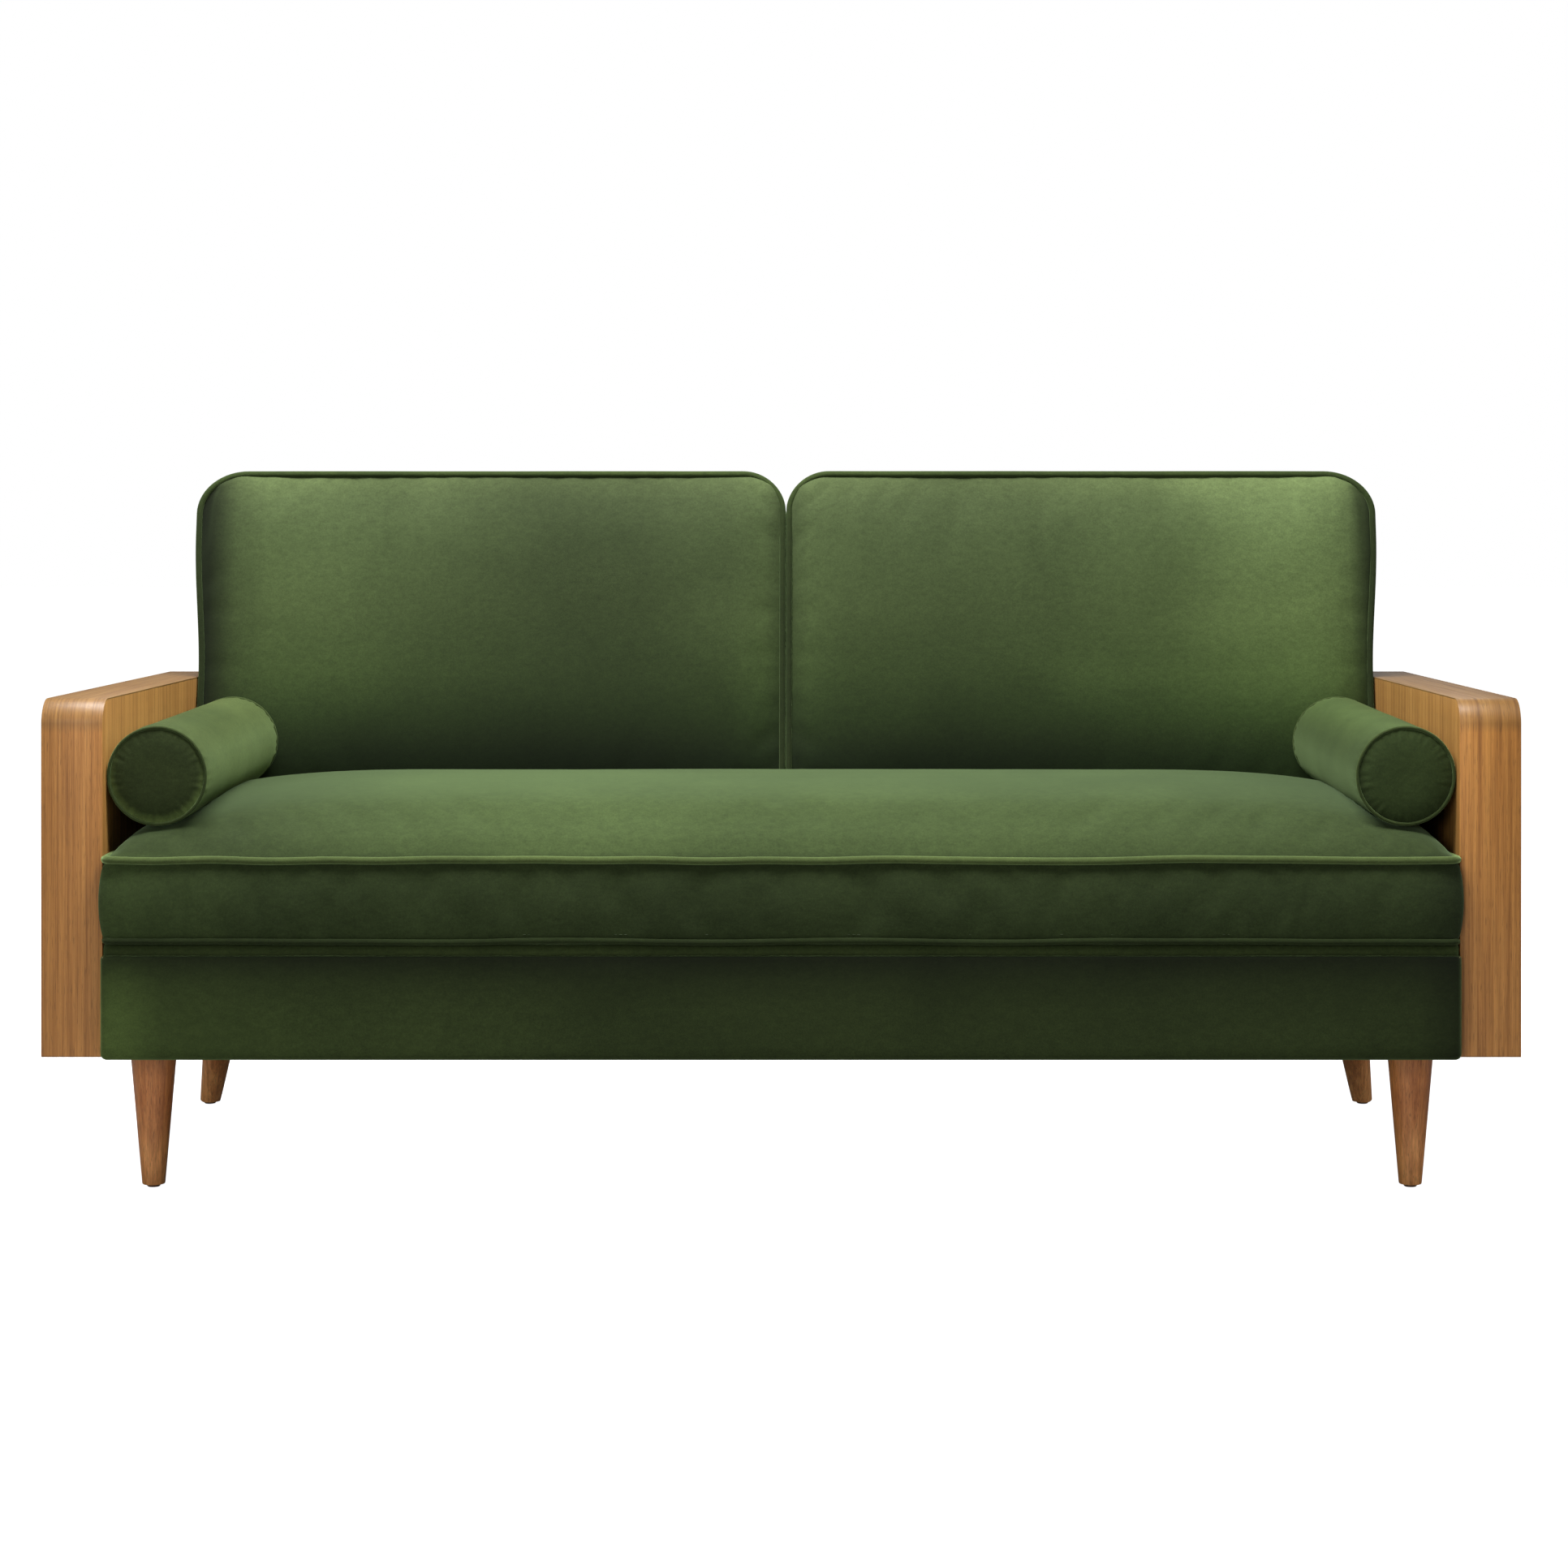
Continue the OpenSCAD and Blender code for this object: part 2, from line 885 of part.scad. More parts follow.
module back_stiles() {
    mid = (back_inner_x + back_outer_x) / 2;
    color(pine)
        difference() {
            union() {
                box([stile_inner_x, frame_front_n, frame_s],
                    [stile_inner_x + stile_w, frame_rear_n, frame_top_s]);
                box([stile_outer_x - stile_w, frame_front_n, frame_s],
                    [stile_outer_x, frame_rear_n, frame_top_s]);
                box([mid - stile_w / 2, frame_front_n, frame_s + rail_h],
                    [mid + stile_w / 2, frame_rear_n, frame_top_s - rail_h]);
            }
            at_hinges()
                leaf_bolt_shafts();
        }
}

module back_rails() {
    color(pine) {
        box([hinge_inner_x, frame_front_n, frame_s],
            [hinge_outer_x, frame_rear_n, frame_s + rail_h]);
        box([stile_inner_x + stile_w, frame_front_n, frame_top_s - rail_h],
            [stile_outer_x - stile_w, frame_rear_n, frame_top_s]);
    }
}

// Elastic straps woven across the front of the frame
module back_webbing() {
    strap_w = 50;
    strap_t = 2;
    rows = 4;
    columns = 7;
    color(black_cloth) {
        for (i = [1:rows]) {
            s = frame_s + i * (frame_top_s - frame_s) / (rows + 1);
            box([stile_inner_x, frame_front_n - strap_t, s - strap_w / 2],
                [stile_outer_x, frame_front_n, s + strap_w / 2]);
        }
        for (i = [1:columns]) {
            x = stile_inner_x + i * (stile_outer_x - stile_inner_x) / (columns + 1);
            box([x - strap_w / 2, frame_front_n - 2 * strap_t, frame_s],
                [x + strap_w / 2, frame_front_n - strap_t, frame_top_s]);
        }
    }
}

module back_rear_panel() {
    gap = 0.5;
    color(velvet)
        along_y(frame_rear_n + gap, back_r - gap)
            back_outline(back_wall_t + gap, frame_s - 4 + gap, pocket_corner_r);
}

// Plate that turns round the hinge pin and is bolted to the side of a stile
module hinge_leaf() {
    x0 = plate_gap / 2;
    strap_n0 = 20;
    strap_n1 = 56;
    difference() {
        along_x(x0, x0 + plate_t) {
            circle(r = eye_r);
            polygon([[-16, 12], [strap_n0, frame_s + 15], [strap_n1, frame_s + 15], [18, -8]]);
            area([strap_n0, frame_s + 10], [strap_n1, leaf_top_s]);
        }
        translate([x0 - 1, 0, 0])
            rotate([0, 90, 0])
                cylinder(r = pin_r + pin_clearance, h = plate_t + 2);
        leaf_bolt_shafts();
        leaf_bolt_heads();
    }
}

module at_leaf_bolts() {
    for (s = leaf_bolt_s)
        translate([plate_gap / 2, 38, s])
            rotate([0, 90, 0])
                children();
}

module leaf_bolt_shafts() {
    at_leaf_bolts()
        cylinder(r = leaf_bolt_r, h = leaf_bolt_l);
}

module leaf_bolt_heads() {
    at_leaf_bolts()
        cylinder(r1 = 2 * leaf_bolt_r, r2 = leaf_bolt_r, h = leaf_bolt_r);
}

module back_hinge_leaves() {
    color(steel)
        at_hinges()
            hinge_leaf();
}

module back_leaf_bolts() {
    color(steel)
        at_hinges() {
            leaf_bolt_shafts();
            leaf_bolt_heads();
        }
}

module back_left_stiles() { at_back(-1) back_stiles(); }
module back_left_rails() { at_back(-1) back_rails(); }
module back_left_webbing() { at_back(-1) back_webbing(); }
module back_left_foam() { at_back(-1) back_foam(); }
module back_left_cushion() { at_back(-1) back_cushion(); }
module back_left_rear_panel() { at_back(-1) back_rear_panel(); }
module back_left_hinge_leaves() { at_back(-1) back_hinge_leaves(); }
module back_left_leaf_bolts() { at_back(-1) back_leaf_bolts(); }
module back_right_stiles() { at_back(1) back_stiles(); }
module back_right_rails() { at_back(1) back_rails(); }
module back_right_webbing() { at_back(1) back_webbing(); }
module back_right_foam() { at_back(1) back_foam(); }
module back_right_cushion() { at_back(1) back_cushion(); }
module back_right_rear_panel() { at_back(1) back_rear_panel(); }
module back_right_hinge_leaves() { at_back(1) back_hinge_leaves(); }
module back_right_leaf_bolts() { at_back(1) back_leaf_bolts(); }

// ---------- bolsters ----------

// Places a bolster that is drawn along Z, lying front to rear on the seat
module at_bolster(side) {
    front = [bolster_x, bolster_front_y, bolster_front_z];
    on_side(side)
        from_to(front, front + [0, bolster_l, bolster_rise])
            children();
}

module bolster_body(inset) {
    translate([0, 0, inset])
        cylinder(r = bolster_r - inset, h = bolster_l - 2 * inset);
}

module bolster_core(side) {
    color(foam_yellow)
        at_bolster(side)
            bolster_body(bolster_cover_t);
}

module bolster_cover(side) {
    color(velvet)
        at_bolster(side)
            difference() {
                bolster_body(0);
                bolster_body(bolster_cover_t);
            }
}

module bolster_left_core() { bolster_core(-1); }
module bolster_left_cover() { bolster_cover(-1); }
module bolster_right_core() { bolster_core(1); }
module bolster_right_cover() { bolster_cover(1); }

base_front_board();
base_rear_board();
base_left_board();
base_right_board();
cross_beams();
corner_blocks();
hinge_beam();
rear_deck();
base_cover();
dust_cover();
seat_front_rail();
seat_rear_rail();
seat_side_rails();
seat_springs();
spring_clips();
seat_felt_pad();
seat_lip_cover();
seat_foam();
seat_cushion();
arm_left_outer_panel();
arm_left_inner_panel();
arm_left_core();
arm_left_veneer_wrap();
arm_left_edge_strips();
arm_right_outer_panel();
arm_right_inner_panel();
arm_right_core();
arm_right_veneer_wrap();
arm_right_edge_strips();
arm_bolts();
leg_front_left();
leg_front_right();
leg_rear_left();
leg_rear_right();
leg_plates();
hanger_bolts();
leg_glides();
hinge_brackets();
hinge_pins();
bracket_screws();
back_left_stiles();
back_left_rails();
back_left_webbing();
back_left_foam();
back_left_cushion();
back_left_rear_panel();
back_left_hinge_leaves();
back_left_leaf_bolts();
back_right_stiles();
back_right_rails();
back_right_webbing();
back_right_foam();
back_right_cushion();
back_right_rear_panel();
back_right_hinge_leaves();
back_right_leaf_bolts();
bolster_left_core();
bolster_left_cover();
bolster_right_core();
bolster_right_cover();
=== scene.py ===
import json
import math

import bmesh
import bpy
import numpy as np
from mathutils import Matrix, Vector


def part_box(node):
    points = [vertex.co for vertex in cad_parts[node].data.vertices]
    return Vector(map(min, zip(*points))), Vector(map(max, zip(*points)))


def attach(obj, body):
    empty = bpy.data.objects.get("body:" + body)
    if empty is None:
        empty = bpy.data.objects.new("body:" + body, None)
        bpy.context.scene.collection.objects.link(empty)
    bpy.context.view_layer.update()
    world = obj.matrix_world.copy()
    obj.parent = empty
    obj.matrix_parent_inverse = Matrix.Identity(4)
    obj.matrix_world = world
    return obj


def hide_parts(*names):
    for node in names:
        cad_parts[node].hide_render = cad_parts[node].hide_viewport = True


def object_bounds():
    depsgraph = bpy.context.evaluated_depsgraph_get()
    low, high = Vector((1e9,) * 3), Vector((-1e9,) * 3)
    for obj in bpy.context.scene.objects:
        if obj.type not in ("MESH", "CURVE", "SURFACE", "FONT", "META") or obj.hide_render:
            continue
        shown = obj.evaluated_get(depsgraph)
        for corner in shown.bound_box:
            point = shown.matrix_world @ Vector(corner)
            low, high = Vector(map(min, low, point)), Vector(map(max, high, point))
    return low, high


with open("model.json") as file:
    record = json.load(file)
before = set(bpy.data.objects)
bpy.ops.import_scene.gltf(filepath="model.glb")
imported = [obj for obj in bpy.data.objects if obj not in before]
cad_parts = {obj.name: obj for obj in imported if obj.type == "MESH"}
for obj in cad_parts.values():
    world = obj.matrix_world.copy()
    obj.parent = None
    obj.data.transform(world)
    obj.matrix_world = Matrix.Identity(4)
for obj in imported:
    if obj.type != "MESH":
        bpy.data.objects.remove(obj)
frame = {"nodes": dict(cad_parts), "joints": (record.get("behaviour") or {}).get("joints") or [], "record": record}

CAD_BOX = [list(corner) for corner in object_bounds()]
MM = 0.001

# ---------- the places of things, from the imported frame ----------

LOW, HIGH = (Vector(corner) for corner in CAD_BOX)
SEAT_LOW, SEAT_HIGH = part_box("seat_cushion")
BOX_LOW, BOX_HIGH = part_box("base_cover")
ARM_LOW, ARM_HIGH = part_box("arm_right_veneer_wrap")
BACK_LOW, BACK_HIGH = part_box("back_right_cushion")
BOLSTER_LOW, BOLSTER_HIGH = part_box("bolster_right_cover")
RAIL_LOW, RAIL_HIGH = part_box("seat_front_rail")
RECLINE = [j for j in frame["joints"] if j["name"] == "back_right_recline"][0]
HINGE = Vector(RECLINE["pos_m"])
LEAN = math.radians(90 - RECLINE["range_deg"][1])
SIDES = (("left", -1), ("right", 1))


# ---------- mesh helpers ----------

def new_object(name, points, faces, material, smooth=True):
    """A mesh object in the row frame, with its normals turned outwards."""
    mesh = bpy.data.meshes.new(name)
    mesh.from_pydata([tuple(p) for p in points], [], faces)
    shape = bmesh.new()
    shape.from_mesh(mesh)
    bmesh.ops.recalc_face_normals(shape, faces=shape.faces)
    shape.to_mesh(mesh)
    shape.free()
    mesh.polygons.foreach_set("use_smooth", [smooth] * len(mesh.polygons))
    mesh.materials.append(material)
    obj = bpy.data.objects.new(name, mesh)
    bpy.context.scene.collection.objects.link(obj)
    return obj


def coordinates(mesh):
    """The places of a mesh's points, as an array."""
    values = np.zeros(len(mesh.vertices) * 3)
    mesh.vertices.foreach_get("co", values)
    return values.reshape(-1, 3)


def set_coordinates(mesh, values):
    """Moves a mesh's points to new places."""
    mesh.vertices.foreach_set("co", np.asarray(values, np.float32).ravel())
    mesh.update()


def bake_modifiers(obj):
    """Applies every modifier on an object."""
    evaluated = obj.evaluated_get(bpy.context.evaluated_depsgraph_get())
    mesh = bpy.data.meshes.new_from_object(evaluated)
    old = obj.data
    obj.modifiers.clear()
    obj.data = mesh
    bpy.data.meshes.remove(old)


def subdivide(obj, levels=1):
    """Rounds a mesh by subdivision and keeps the result."""
    modifier = obj.modifiers.new("smooth", "SUBSURF")
    modifier.levels = levels
    modifier.render_levels = levels
    bake_modifiers(obj)


def bumps(points, size, seed):
    """Smooth hills and hollows from about -1 to 1, some size metres across, the same on every run."""
    random = np.random.default_rng(seed)
    total = np.zeros(len(points))
    waves = 12
    for i in range(waves):
        direction = random.normal(size=3)
        direction /= np.linalg.norm(direction)
        length = size * random.uniform(0.6, 1.8)
        total += np.sin(points @ direction * 2 * math.pi / length + random.uniform(0, 2 * math.pi))
    return total / math.sqrt(waves)


def ease(t):
    """0 before 0, 1 after 1, and smooth between."""
    t = np.clip(t, 0, 1)
    return t * t * (3 - 2 * t)


def box_skin(name, cells, place, material):
    """A closed mesh over the surface of a box lattice, with its cells closer together near the box's edges.

    place() turns lattice places, each from -1 to 1, into points.
    """
    index = {}
    lattice = []
    faces = []

    def corner(key):
        if key not in index:
            index[key] = len(lattice)
            lattice.append(key)
        return index[key]

    for axis in range(3):
        a, b = [i for i in range(3) if i != axis]
        for end in (0, cells[axis]):
            for i in range(cells[a]):
                for j in range(cells[b]):
                    ring = []
                    for di, dj in ((0, 0), (1, 0), (1, 1), (0, 1)):
                        key = [0, 0, 0]
                        key[axis], key[a], key[b] = end, i + di, j + dj
                        ring.append(corner(tuple(key)))
                    faces.append(ring)
    uvw = crowd(2 * np.array(lattice, float) / np.array(cells) - 1)
    return new_object(name, place(uvw), faces, material), uvw


def crowd(t, amount=0.45):
    """Moves evenly spaced values from -1 to 1 closer together near both ends."""
    return t + amount * np.sin(math.pi * t) / math.pi


def round_corner(a, b, low_a, low_b, radius):
    """Pulls the square corner beyond (low_a, low_b) into a quarter circle; a and b are distances into it."""
    p = np.clip(a - low_a, 0, None) / radius
    q = np.clip(b - low_b, 0, None) / radius
    both = (p > 0) & (q > 0)
    new_p = np.where(both, p * np.sqrt(np.clip(1 - q * q / 2, 0, 1)), p)
    new_q = np.where(both, q * np.sqrt(np.clip(1 - p * p / 2, 0, 1)), q)
    return np.where(p > 0, low_a + new_p * radius, a), np.where(q > 0, low_b + new_q * radius, b)


def tube(name, path, radius, material, closed=True, sides=10):
    """A round tube along a path of points."""
    path = np.asarray(path, float)
    count = len(path)
    if closed:
        along = np.roll(path, -1, 0) - np.roll(path, 1, 0)
    else:
        along = np.gradient(path, axis=0)
    along /= np.linalg.norm(along, axis=1)[:, None]
    normal = np.cross(along[0], (0.31, 0.52, 0.79))
    points = []
    for here, direction in zip(path, along):
        normal = normal - direction * (normal @ direction)
        normal /= np.linalg.norm(normal)
        other = np.cross(direction, normal)
        for k in range(sides):
            turn = 2 * math.pi * k / sides
            points.append(here + radius * (math.cos(turn) * normal + math.sin(turn) * other))
    faces = []
    for i in range(count if closed else count - 1):
        j = (i + 1) % count
        for k in range(sides):
            m = (k + 1) % sides
            faces.append([i * sides + k, i * sides + m, j * sides + m, j * sides + k])
    if closed:
        # The last ring meets the first one turned, so the faces between them are matched up by distance
        last, first = np.array(points[-sides:]), np.array(points[:sides])
        shift = int(np.argmin(np.linalg.norm(first - last[0], axis=1)))
        faces = faces[:-sides]
        for k in range(sides):
            m = (k + 1) % sides
            faces.append([(count - 1) * sides + k, (count - 1) * sides + m,
                          (m + shift) % sides, (k + shift) % sides])
    else:
        faces.append(list(range(sides)))
        faces.append(list(range((count - 1) * sides, count * sides)))
    return new_object(name, points, faces, material)


def sweep_ring(name, outline, path, material):
    """A closed outline of (out, up) pairs carried round a closed level path of (point, outward) pairs."""
    points = []
    for place, outward in path:
        for out, up in outline:
            points.append(Vector(place) + Vector(outward) * out + Vector((0, 0, up)))
    n, count = len(outline), len(path)
    faces = []
    for i in range(count):
        j = (i + 1) % count
        for k in range(n):
            m = (k + 1) % n
            faces.append([i * n + k, j * n + k, j * n + m, i * n + m])
    return new_object(name, points, faces, material)


def lathe(name, profile, matrix, material, segments=96, wave=None):
    """A closed turned shape from (radius, height) pairs, from axis to axis.

    wave() gives what to add to the radii round a ring.
    """
    turns = np.linspace(0, 2 * math.pi, segments, endpoint=False)
    points = [matrix @ Vector((0, 0, profile[0][1]))]
    for radius, height in profile[1:-1]:
        grown = radius + (wave(turns, radius, height) if wave else 0 * turns)
        for turn, r in zip(turns, grown):
            points.append(matrix @ Vector((r * math.cos(turn), r * math.sin(turn), height)))
    points.append(matrix @ Vector((0, 0, profile[-1][1])))
    rings = len(profile) - 2
    faces = []
    for k in range(segments):
        m = (k + 1) % segments
        faces.append([0, 1 + m, 1 + k])
        last = 1 + (rings - 1) * segments
        faces.append([last + k, last + m, len(points) - 1])
        for i in range(rings - 1):
            row = 1 + i * segments
            faces.append([row + k, row + m, row + segments + m, row + segments + k])
    return new_object(name, points, faces, material)


def prism(name, outline, x0, x1, material, bevel=0.5 * MM):
    """An outline in Y and Z, carried from x0 to x1, with its edges broken."""
    count = len(outline)
    points = [(x, y, z) for x in (x0, x1) for y, z in outline]
    faces = [list(range(count)), list(range(count, 2 * count))]
    for i in range(count):
        j = (i + 1) % count
        faces.append([i, j, count + j, count + i])
    obj = new_object(name, points, faces, material)
    modifier = obj.modifiers.new("edges", "BEVEL")
    modifier.width = bevel
    modifier.segments = 2
    modifier.limit_method = "ANGLE"
    modifier.angle_limit = math.radians(40)
    bake_modifiers(obj)
    obj.data.polygons.foreach_set("use_smooth", [True] * len(obj.data.polygons))
    obj.data.set_sharp_from_angle(angle=math.radians(35))
    return obj


def join(name, pieces):
    """Makes one object of several."""
    with bpy.context.temp_override(active_object=pieces[0], object=pieces[0],
                                   selected_objects=pieces, selected_editable_objects=pieces):
        bpy.ops.object.join()
    pieces[0].name = name
    pieces[0].data.name = name
    return pieces[0]


def finish_piece(obj, body, slot, *nodes):
    """Says what a piece rides on and hides the CAD nodes it stands for. slot is not used."""
    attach(obj, body)
    if nodes:
        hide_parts(*nodes)
    return obj


# ---------- materials ----------

class Nodes:
    """Short names for building a material's node tree."""

    def __init__(self, name):
        self.material = bpy.data.materials.new(name)
        self.material.use_nodes = True
        self.tree = self.material.node_tree
        self.shader = self.tree.nodes["Principled BSDF"]
        self.place = self.add("ShaderNodeTexCoord").outputs["Object"]

    def add(self, kind, **settings):
        node = self.tree.nodes.new(kind)
        for key, value in settings.items():
            setattr(node, key, value)
        return node

    def link(self, output, socket):
        self.tree.links.new(output, socket)

    def stretch(self, scale):
        """The place, scaled by an amount along each axis."""
        node = self.add("ShaderNodeMapping")
        node.inputs["Scale"].default_value = scale
        self.link(self.place, node.inputs["Vector"])
        return node.outputs["Vector"]

    def noise(self, vector, scale, detail=2.0, roughness=0.5, distortion=0.0):
        node = self.add("ShaderNodeTexNoise")
        node.inputs["Scale"].default_value = scale
        node.inputs["Detail"].default_value = detail
        node.inputs["Roughness"].default_value = roughness
        node.inputs["Distortion"].default_value = distortion
        self.link(vector, node.inputs["Vector"])
        return node.outputs["Fac"]

    def ramp(self, value, stops):
        """Colours or greys at places from 0 to 1 along a value."""
        node = self.add("ShaderNodeValToRGB")
        band = node.color_ramp
        while len(band.elements) < len(stops):
            band.elements.new(0.5)
        for element, (position, colour) in zip(band.elements, stops):
            element.position = position
            element.color = (*colour, 1) if isinstance(colour, tuple) else (colour, colour, colour, 1)
        self.link(value, node.inputs["Fac"])
        return node.outputs["Color"]

    def mix(self, how, amount, a, b):
        """Two colours mixed; amount, a and b are each a value or an output."""
        node = self.add("ShaderNodeMix", data_type="RGBA", blend_type=how)
        for socket, value in ((node.inputs[0], amount), (node.inputs[6], a), (node.inputs[7], b)):
            if isinstance(value, bpy.types.NodeSocket):
                self.link(value, socket)
            elif isinstance(value, tuple):
                socket.default_value = (*value, 1)
            else:
                socket.default_value = value
        return node.outputs[2]

    def maths(self, how, a, b=0.0, c=0.0):
        node = self.add("ShaderNodeMath", operation=how)
        for socket, value in zip(node.inputs, (a, b, c)):
            if isinstance(value, bpy.types.NodeSocket):
                self.link(value, socket)
            else:
                socket.default_value = value
        return node.outputs[0]

    def dot(self, direction):
        """How far the place is along a direction."""
        node = self.add("ShaderNodeVectorMath", operation="DOT_PRODUCT")
        self.link(self.place, node.inputs[0])
        node.inputs[1].default_value = direction
        return node.outputs["Value"]

    def shade_along(self, direction, begin, end, stops):
        """A ramp along a direction, between two places on it."""
        along = self.maths("DIVIDE", self.maths("SUBTRACT", self.dot(direction), begin), end - begin)
        return self.ramp(along, stops)

    def shaded(self, colour, ramps):
        """A colour times some ramps along directions."""
        for one in ramps:
            colour = self.mix("MULTIPLY", 1.0, colour, self.shade_along(*one))
        return colour

    def colour(self, output):
        self.link(output, self.shader.inputs["Base Color"])

    def roughness(self, output):
        self.link(output, self.shader.inputs["Roughness"])

    def bump(self, height, distance, strength=1.0):
        node = self.add("ShaderNodeBump")
        node.inputs["Distance"].default_value = distance
        node.inputs["Strength"].default_value = strength
        self.link(height, node.inputs["Height"])
        self.link(node.outputs["Normal"], self.shader.inputs["Normal"])

    def set(self, **values):
        for name, value in values.items():
            self.shader.inputs[name.replace("_", " ")].default_value = value


def velvet(name, dark, light, sheen_tint, sheen=0.42, painted_shades=(), part_painted_shades=(), where=None):
    """Short brushed pile: patches of nap, faint brush marks, speckle and sheen at glancing angles.

    The first set of ramps paints light and shade into the colour along directions. where is a ramp that is black
    on a part that takes the second set.
    """
    n = Nodes(name)
    patches = n.ramp(n.noise(n.stretch((1.0, 1.0, 1.2)), 5.0, 3.0, 0.5, 0.6), [(0.3, dark), (0.7, light)])
    marks = n.ramp(n.noise(n.stretch((60.0, 60.0, 100.0)), 1.6, 4.0, 0.62, 0.4), [(0.3, 0.76), (0.7, 1.0)])
    speckle = n.ramp(n.noise(n.stretch((1.0, 1.0, 1.0)), 420.0, 3.0, 0.75), [(0.3, 0.7), (0.7, 1.0)])
    shade = n.mix("MULTIPLY", 1.0, marks, speckle)
    pile_colour = n.mix("MULTIPLY", 1.0, patches, shade)
    # Painted light and shade: ramps along directions multiply the pile's colour.
    colour = n.shaded(pile_colour, painted_shades)
    if where:
        colour = n.mix("MIX", n.shade_along(*where), n.shaded(pile_colour, part_painted_shades), colour)
    n.colour(colour)
    pile = n.noise(n.stretch((1.0, 1.0, 1.0)), 1100.0, 2.0, 0.6)
    n.bump(pile, 0.25 * MM, 0.5)
    n.set(Roughness=0.92, Sheen_Weight=sheen, Sheen_Roughness=0.42, Sheen_Tint=(*sheen_tint, 1))
    n.shader.inputs["Specular IOR Level"].default_value = 0.15
    return n.material


def wood(name, pale, mid, deep, axes, fineness=1.0, gloss=0.45, ramps=()):
    """Straight grain. axes are two directions across the grain and one along it; ramps paint shade into the
    colour.
    """
    n = Nodes(name)
    across_1, across_2, along = axes
    combine = n.add("ShaderNodeCombineXYZ")
    n.link(n.dot(across_1), combine.inputs[0])
    n.link(n.dot(across_2), combine.inputs[1])
    n.link(n.maths("MULTIPLY", n.dot(along), 0.014), combine.inputs[2])
    grain = combine.outputs[0]
    bands = n.noise(grain, 16.0 * fineness, 3.0, 0.6, 0.6)
    lines = n.noise(grain, 220.0 * fineness, 3.0, 0.65, 0.2)
    fibres = n.noise(grain, 900.0 * fineness, 2.0, 0.6)
    tone = n.maths("ADD", n.maths("MULTIPLY", bands, 0.3), n.maths("MULTIPLY", lines, 0.7))
    base = n.ramp(tone, [(0.37, deep), (0.5, mid), (0.62, pale)])
    base = n.mix("MULTIPLY", 1.0, base, n.ramp(fibres, [(0.3, 0.82), (0.62, 1.08)]))
    pore_place = n.add("ShaderNodeCombineXYZ")
    n.link(n.dot(across_1), pore_place.inputs[0])
    n.link(n.dot(across_2), pore_place.inputs[1])
    n.link(n.maths("MULTIPLY", n.dot(along), 0.04), pore_place.inputs[2])
    pores = n.noise(pore_place.outputs[0], 1300.0 * fineness, 1.0, 0.5)
    base = n.mix("MULTIPLY", 1.0, base, n.ramp(pores, [(0.3, 0.6), (0.4, 1.0)]))
    n.colour(n.shaded(base, ramps))
    n.roughness(n.ramp(lines, [(0.3, gloss + 0.1), (0.7, gloss)]))
    raised = n.ramp(fibres, [(0.3, 0.6), (0.6, 1.0)])
    n.bump(n.mix("MULTIPLY", 1.0, raised, n.ramp(pores, [(0.3, 0.2), (0.4, 1.0)])), 0.12 * MM, 0.6)
    n.set(Coat_Weight=0.08, Coat_Roughness=0.35)
    return n.material


def plain(name, colour, rough, metal=0.0, grain=300.0, depth=0.05):
    """Metal, plastic, foam or black cloth: a little mottling in colour, gloss and surface."""
    n = Nodes(name)
    fine = n.noise(n.stretch((1.0, 1.0, 1.0)), grain, 3.0, 0.6)
    low, high = (tuple(c * k for c in colour) for k in (0.82, 1.12))
    n.colour(n.ramp(fine, [(0.3, low), (0.7, high)]))
    smears = n.noise(n.stretch((1.0, 1.0, 1.0)), grain / 6, 2.0)
    n.roughness(n.ramp(smears, [(0.3, rough * 0.85), (0.7, rough)]))
    n.bump(fine, depth * MM, 0.6)
    n.set(Metallic=metal)
    return n.material


X, Y, Z = (1, 0, 0), (0, 1, 0), (0, 0, 1)
NONE = (0, 0, 0)


def even(shade):
    """A ramp of one shade everywhere."""
    return (Z, 0, 1, [(0.0, shade), (1.0, shade)])


GREEN_DARK = (0.031, 0.046, 0.012)
GREEN_LIGHT = (0.041, 0.060, 0.016)
SHEEN_GREEN = (0.6, 0.88, 0.36)
VELVET = velvet("velvet", GREEN_DARK, GREEN_LIGHT, SHEEN_GREEN)
# Lighter and darker copies of one velvet for the seat's piping: painted light on the upper welt, painted shade on
# the lower.
PIPING_PAINTED_LIGHT = velvet("velvet piping", (0.055, 0.078, 0.022), (0.075, 0.105, 0.03), SHEEN_GREEN, 0.9)
PIPING_PAINTED_SHADE = velvet("velvet low piping", (0.014, 0.022, 0.005), (0.019, 0.03, 0.007), SHEEN_GREEN, 0.15)
LEANING = (0, math.sin(LEAN), math.cos(LEAN))
HINGE_ALONG = Vector(LEANING).dot(Vector((0, HINGE.y, HINGE.z)))
# The backs' piping: a darker copy of the velvet, with painted shade that darkens it further down the back.
BACK_PIPING_PAINTED_SHADE = (LEANING, HINGE_ALONG + 0.3, HINGE_ALONG + 0.48, [(0.0, 0.42), (0.6, 0.5), (0.92, 1.0)])
BACK_PIPING = velvet("velvet back piping", (0.03, 0.047, 0.012), (0.04, 0.061, 0.015), SHEEN_GREEN, 0.22,
                     painted_shades=(BACK_PIPING_PAINTED_SHADE,))
# Painted shade up the backs' front faces: very dark at the foot by the seat and lighter upwards, with a pale top
# as painted sheen.
BACK_PAINTED_SHADE_UPWARDS = (LEANING, HINGE_ALONG + 0.08, HINGE_ALONG + 0.48, [
    (0.0, (0.09, 0.12, 0.08)), (0.05, (0.13, 0.16, 0.11)), (0.14, (0.22, 0.26, 0.19)),
    (0.28, (0.39, 0.42, 0.36)), (0.5, 0.52), (0.75, (0.58, 0.57, 0.62)), (0.88, (0.67, 0.64, 0.74)),
    (1.0, (0.93, 0.86, 1.0))])
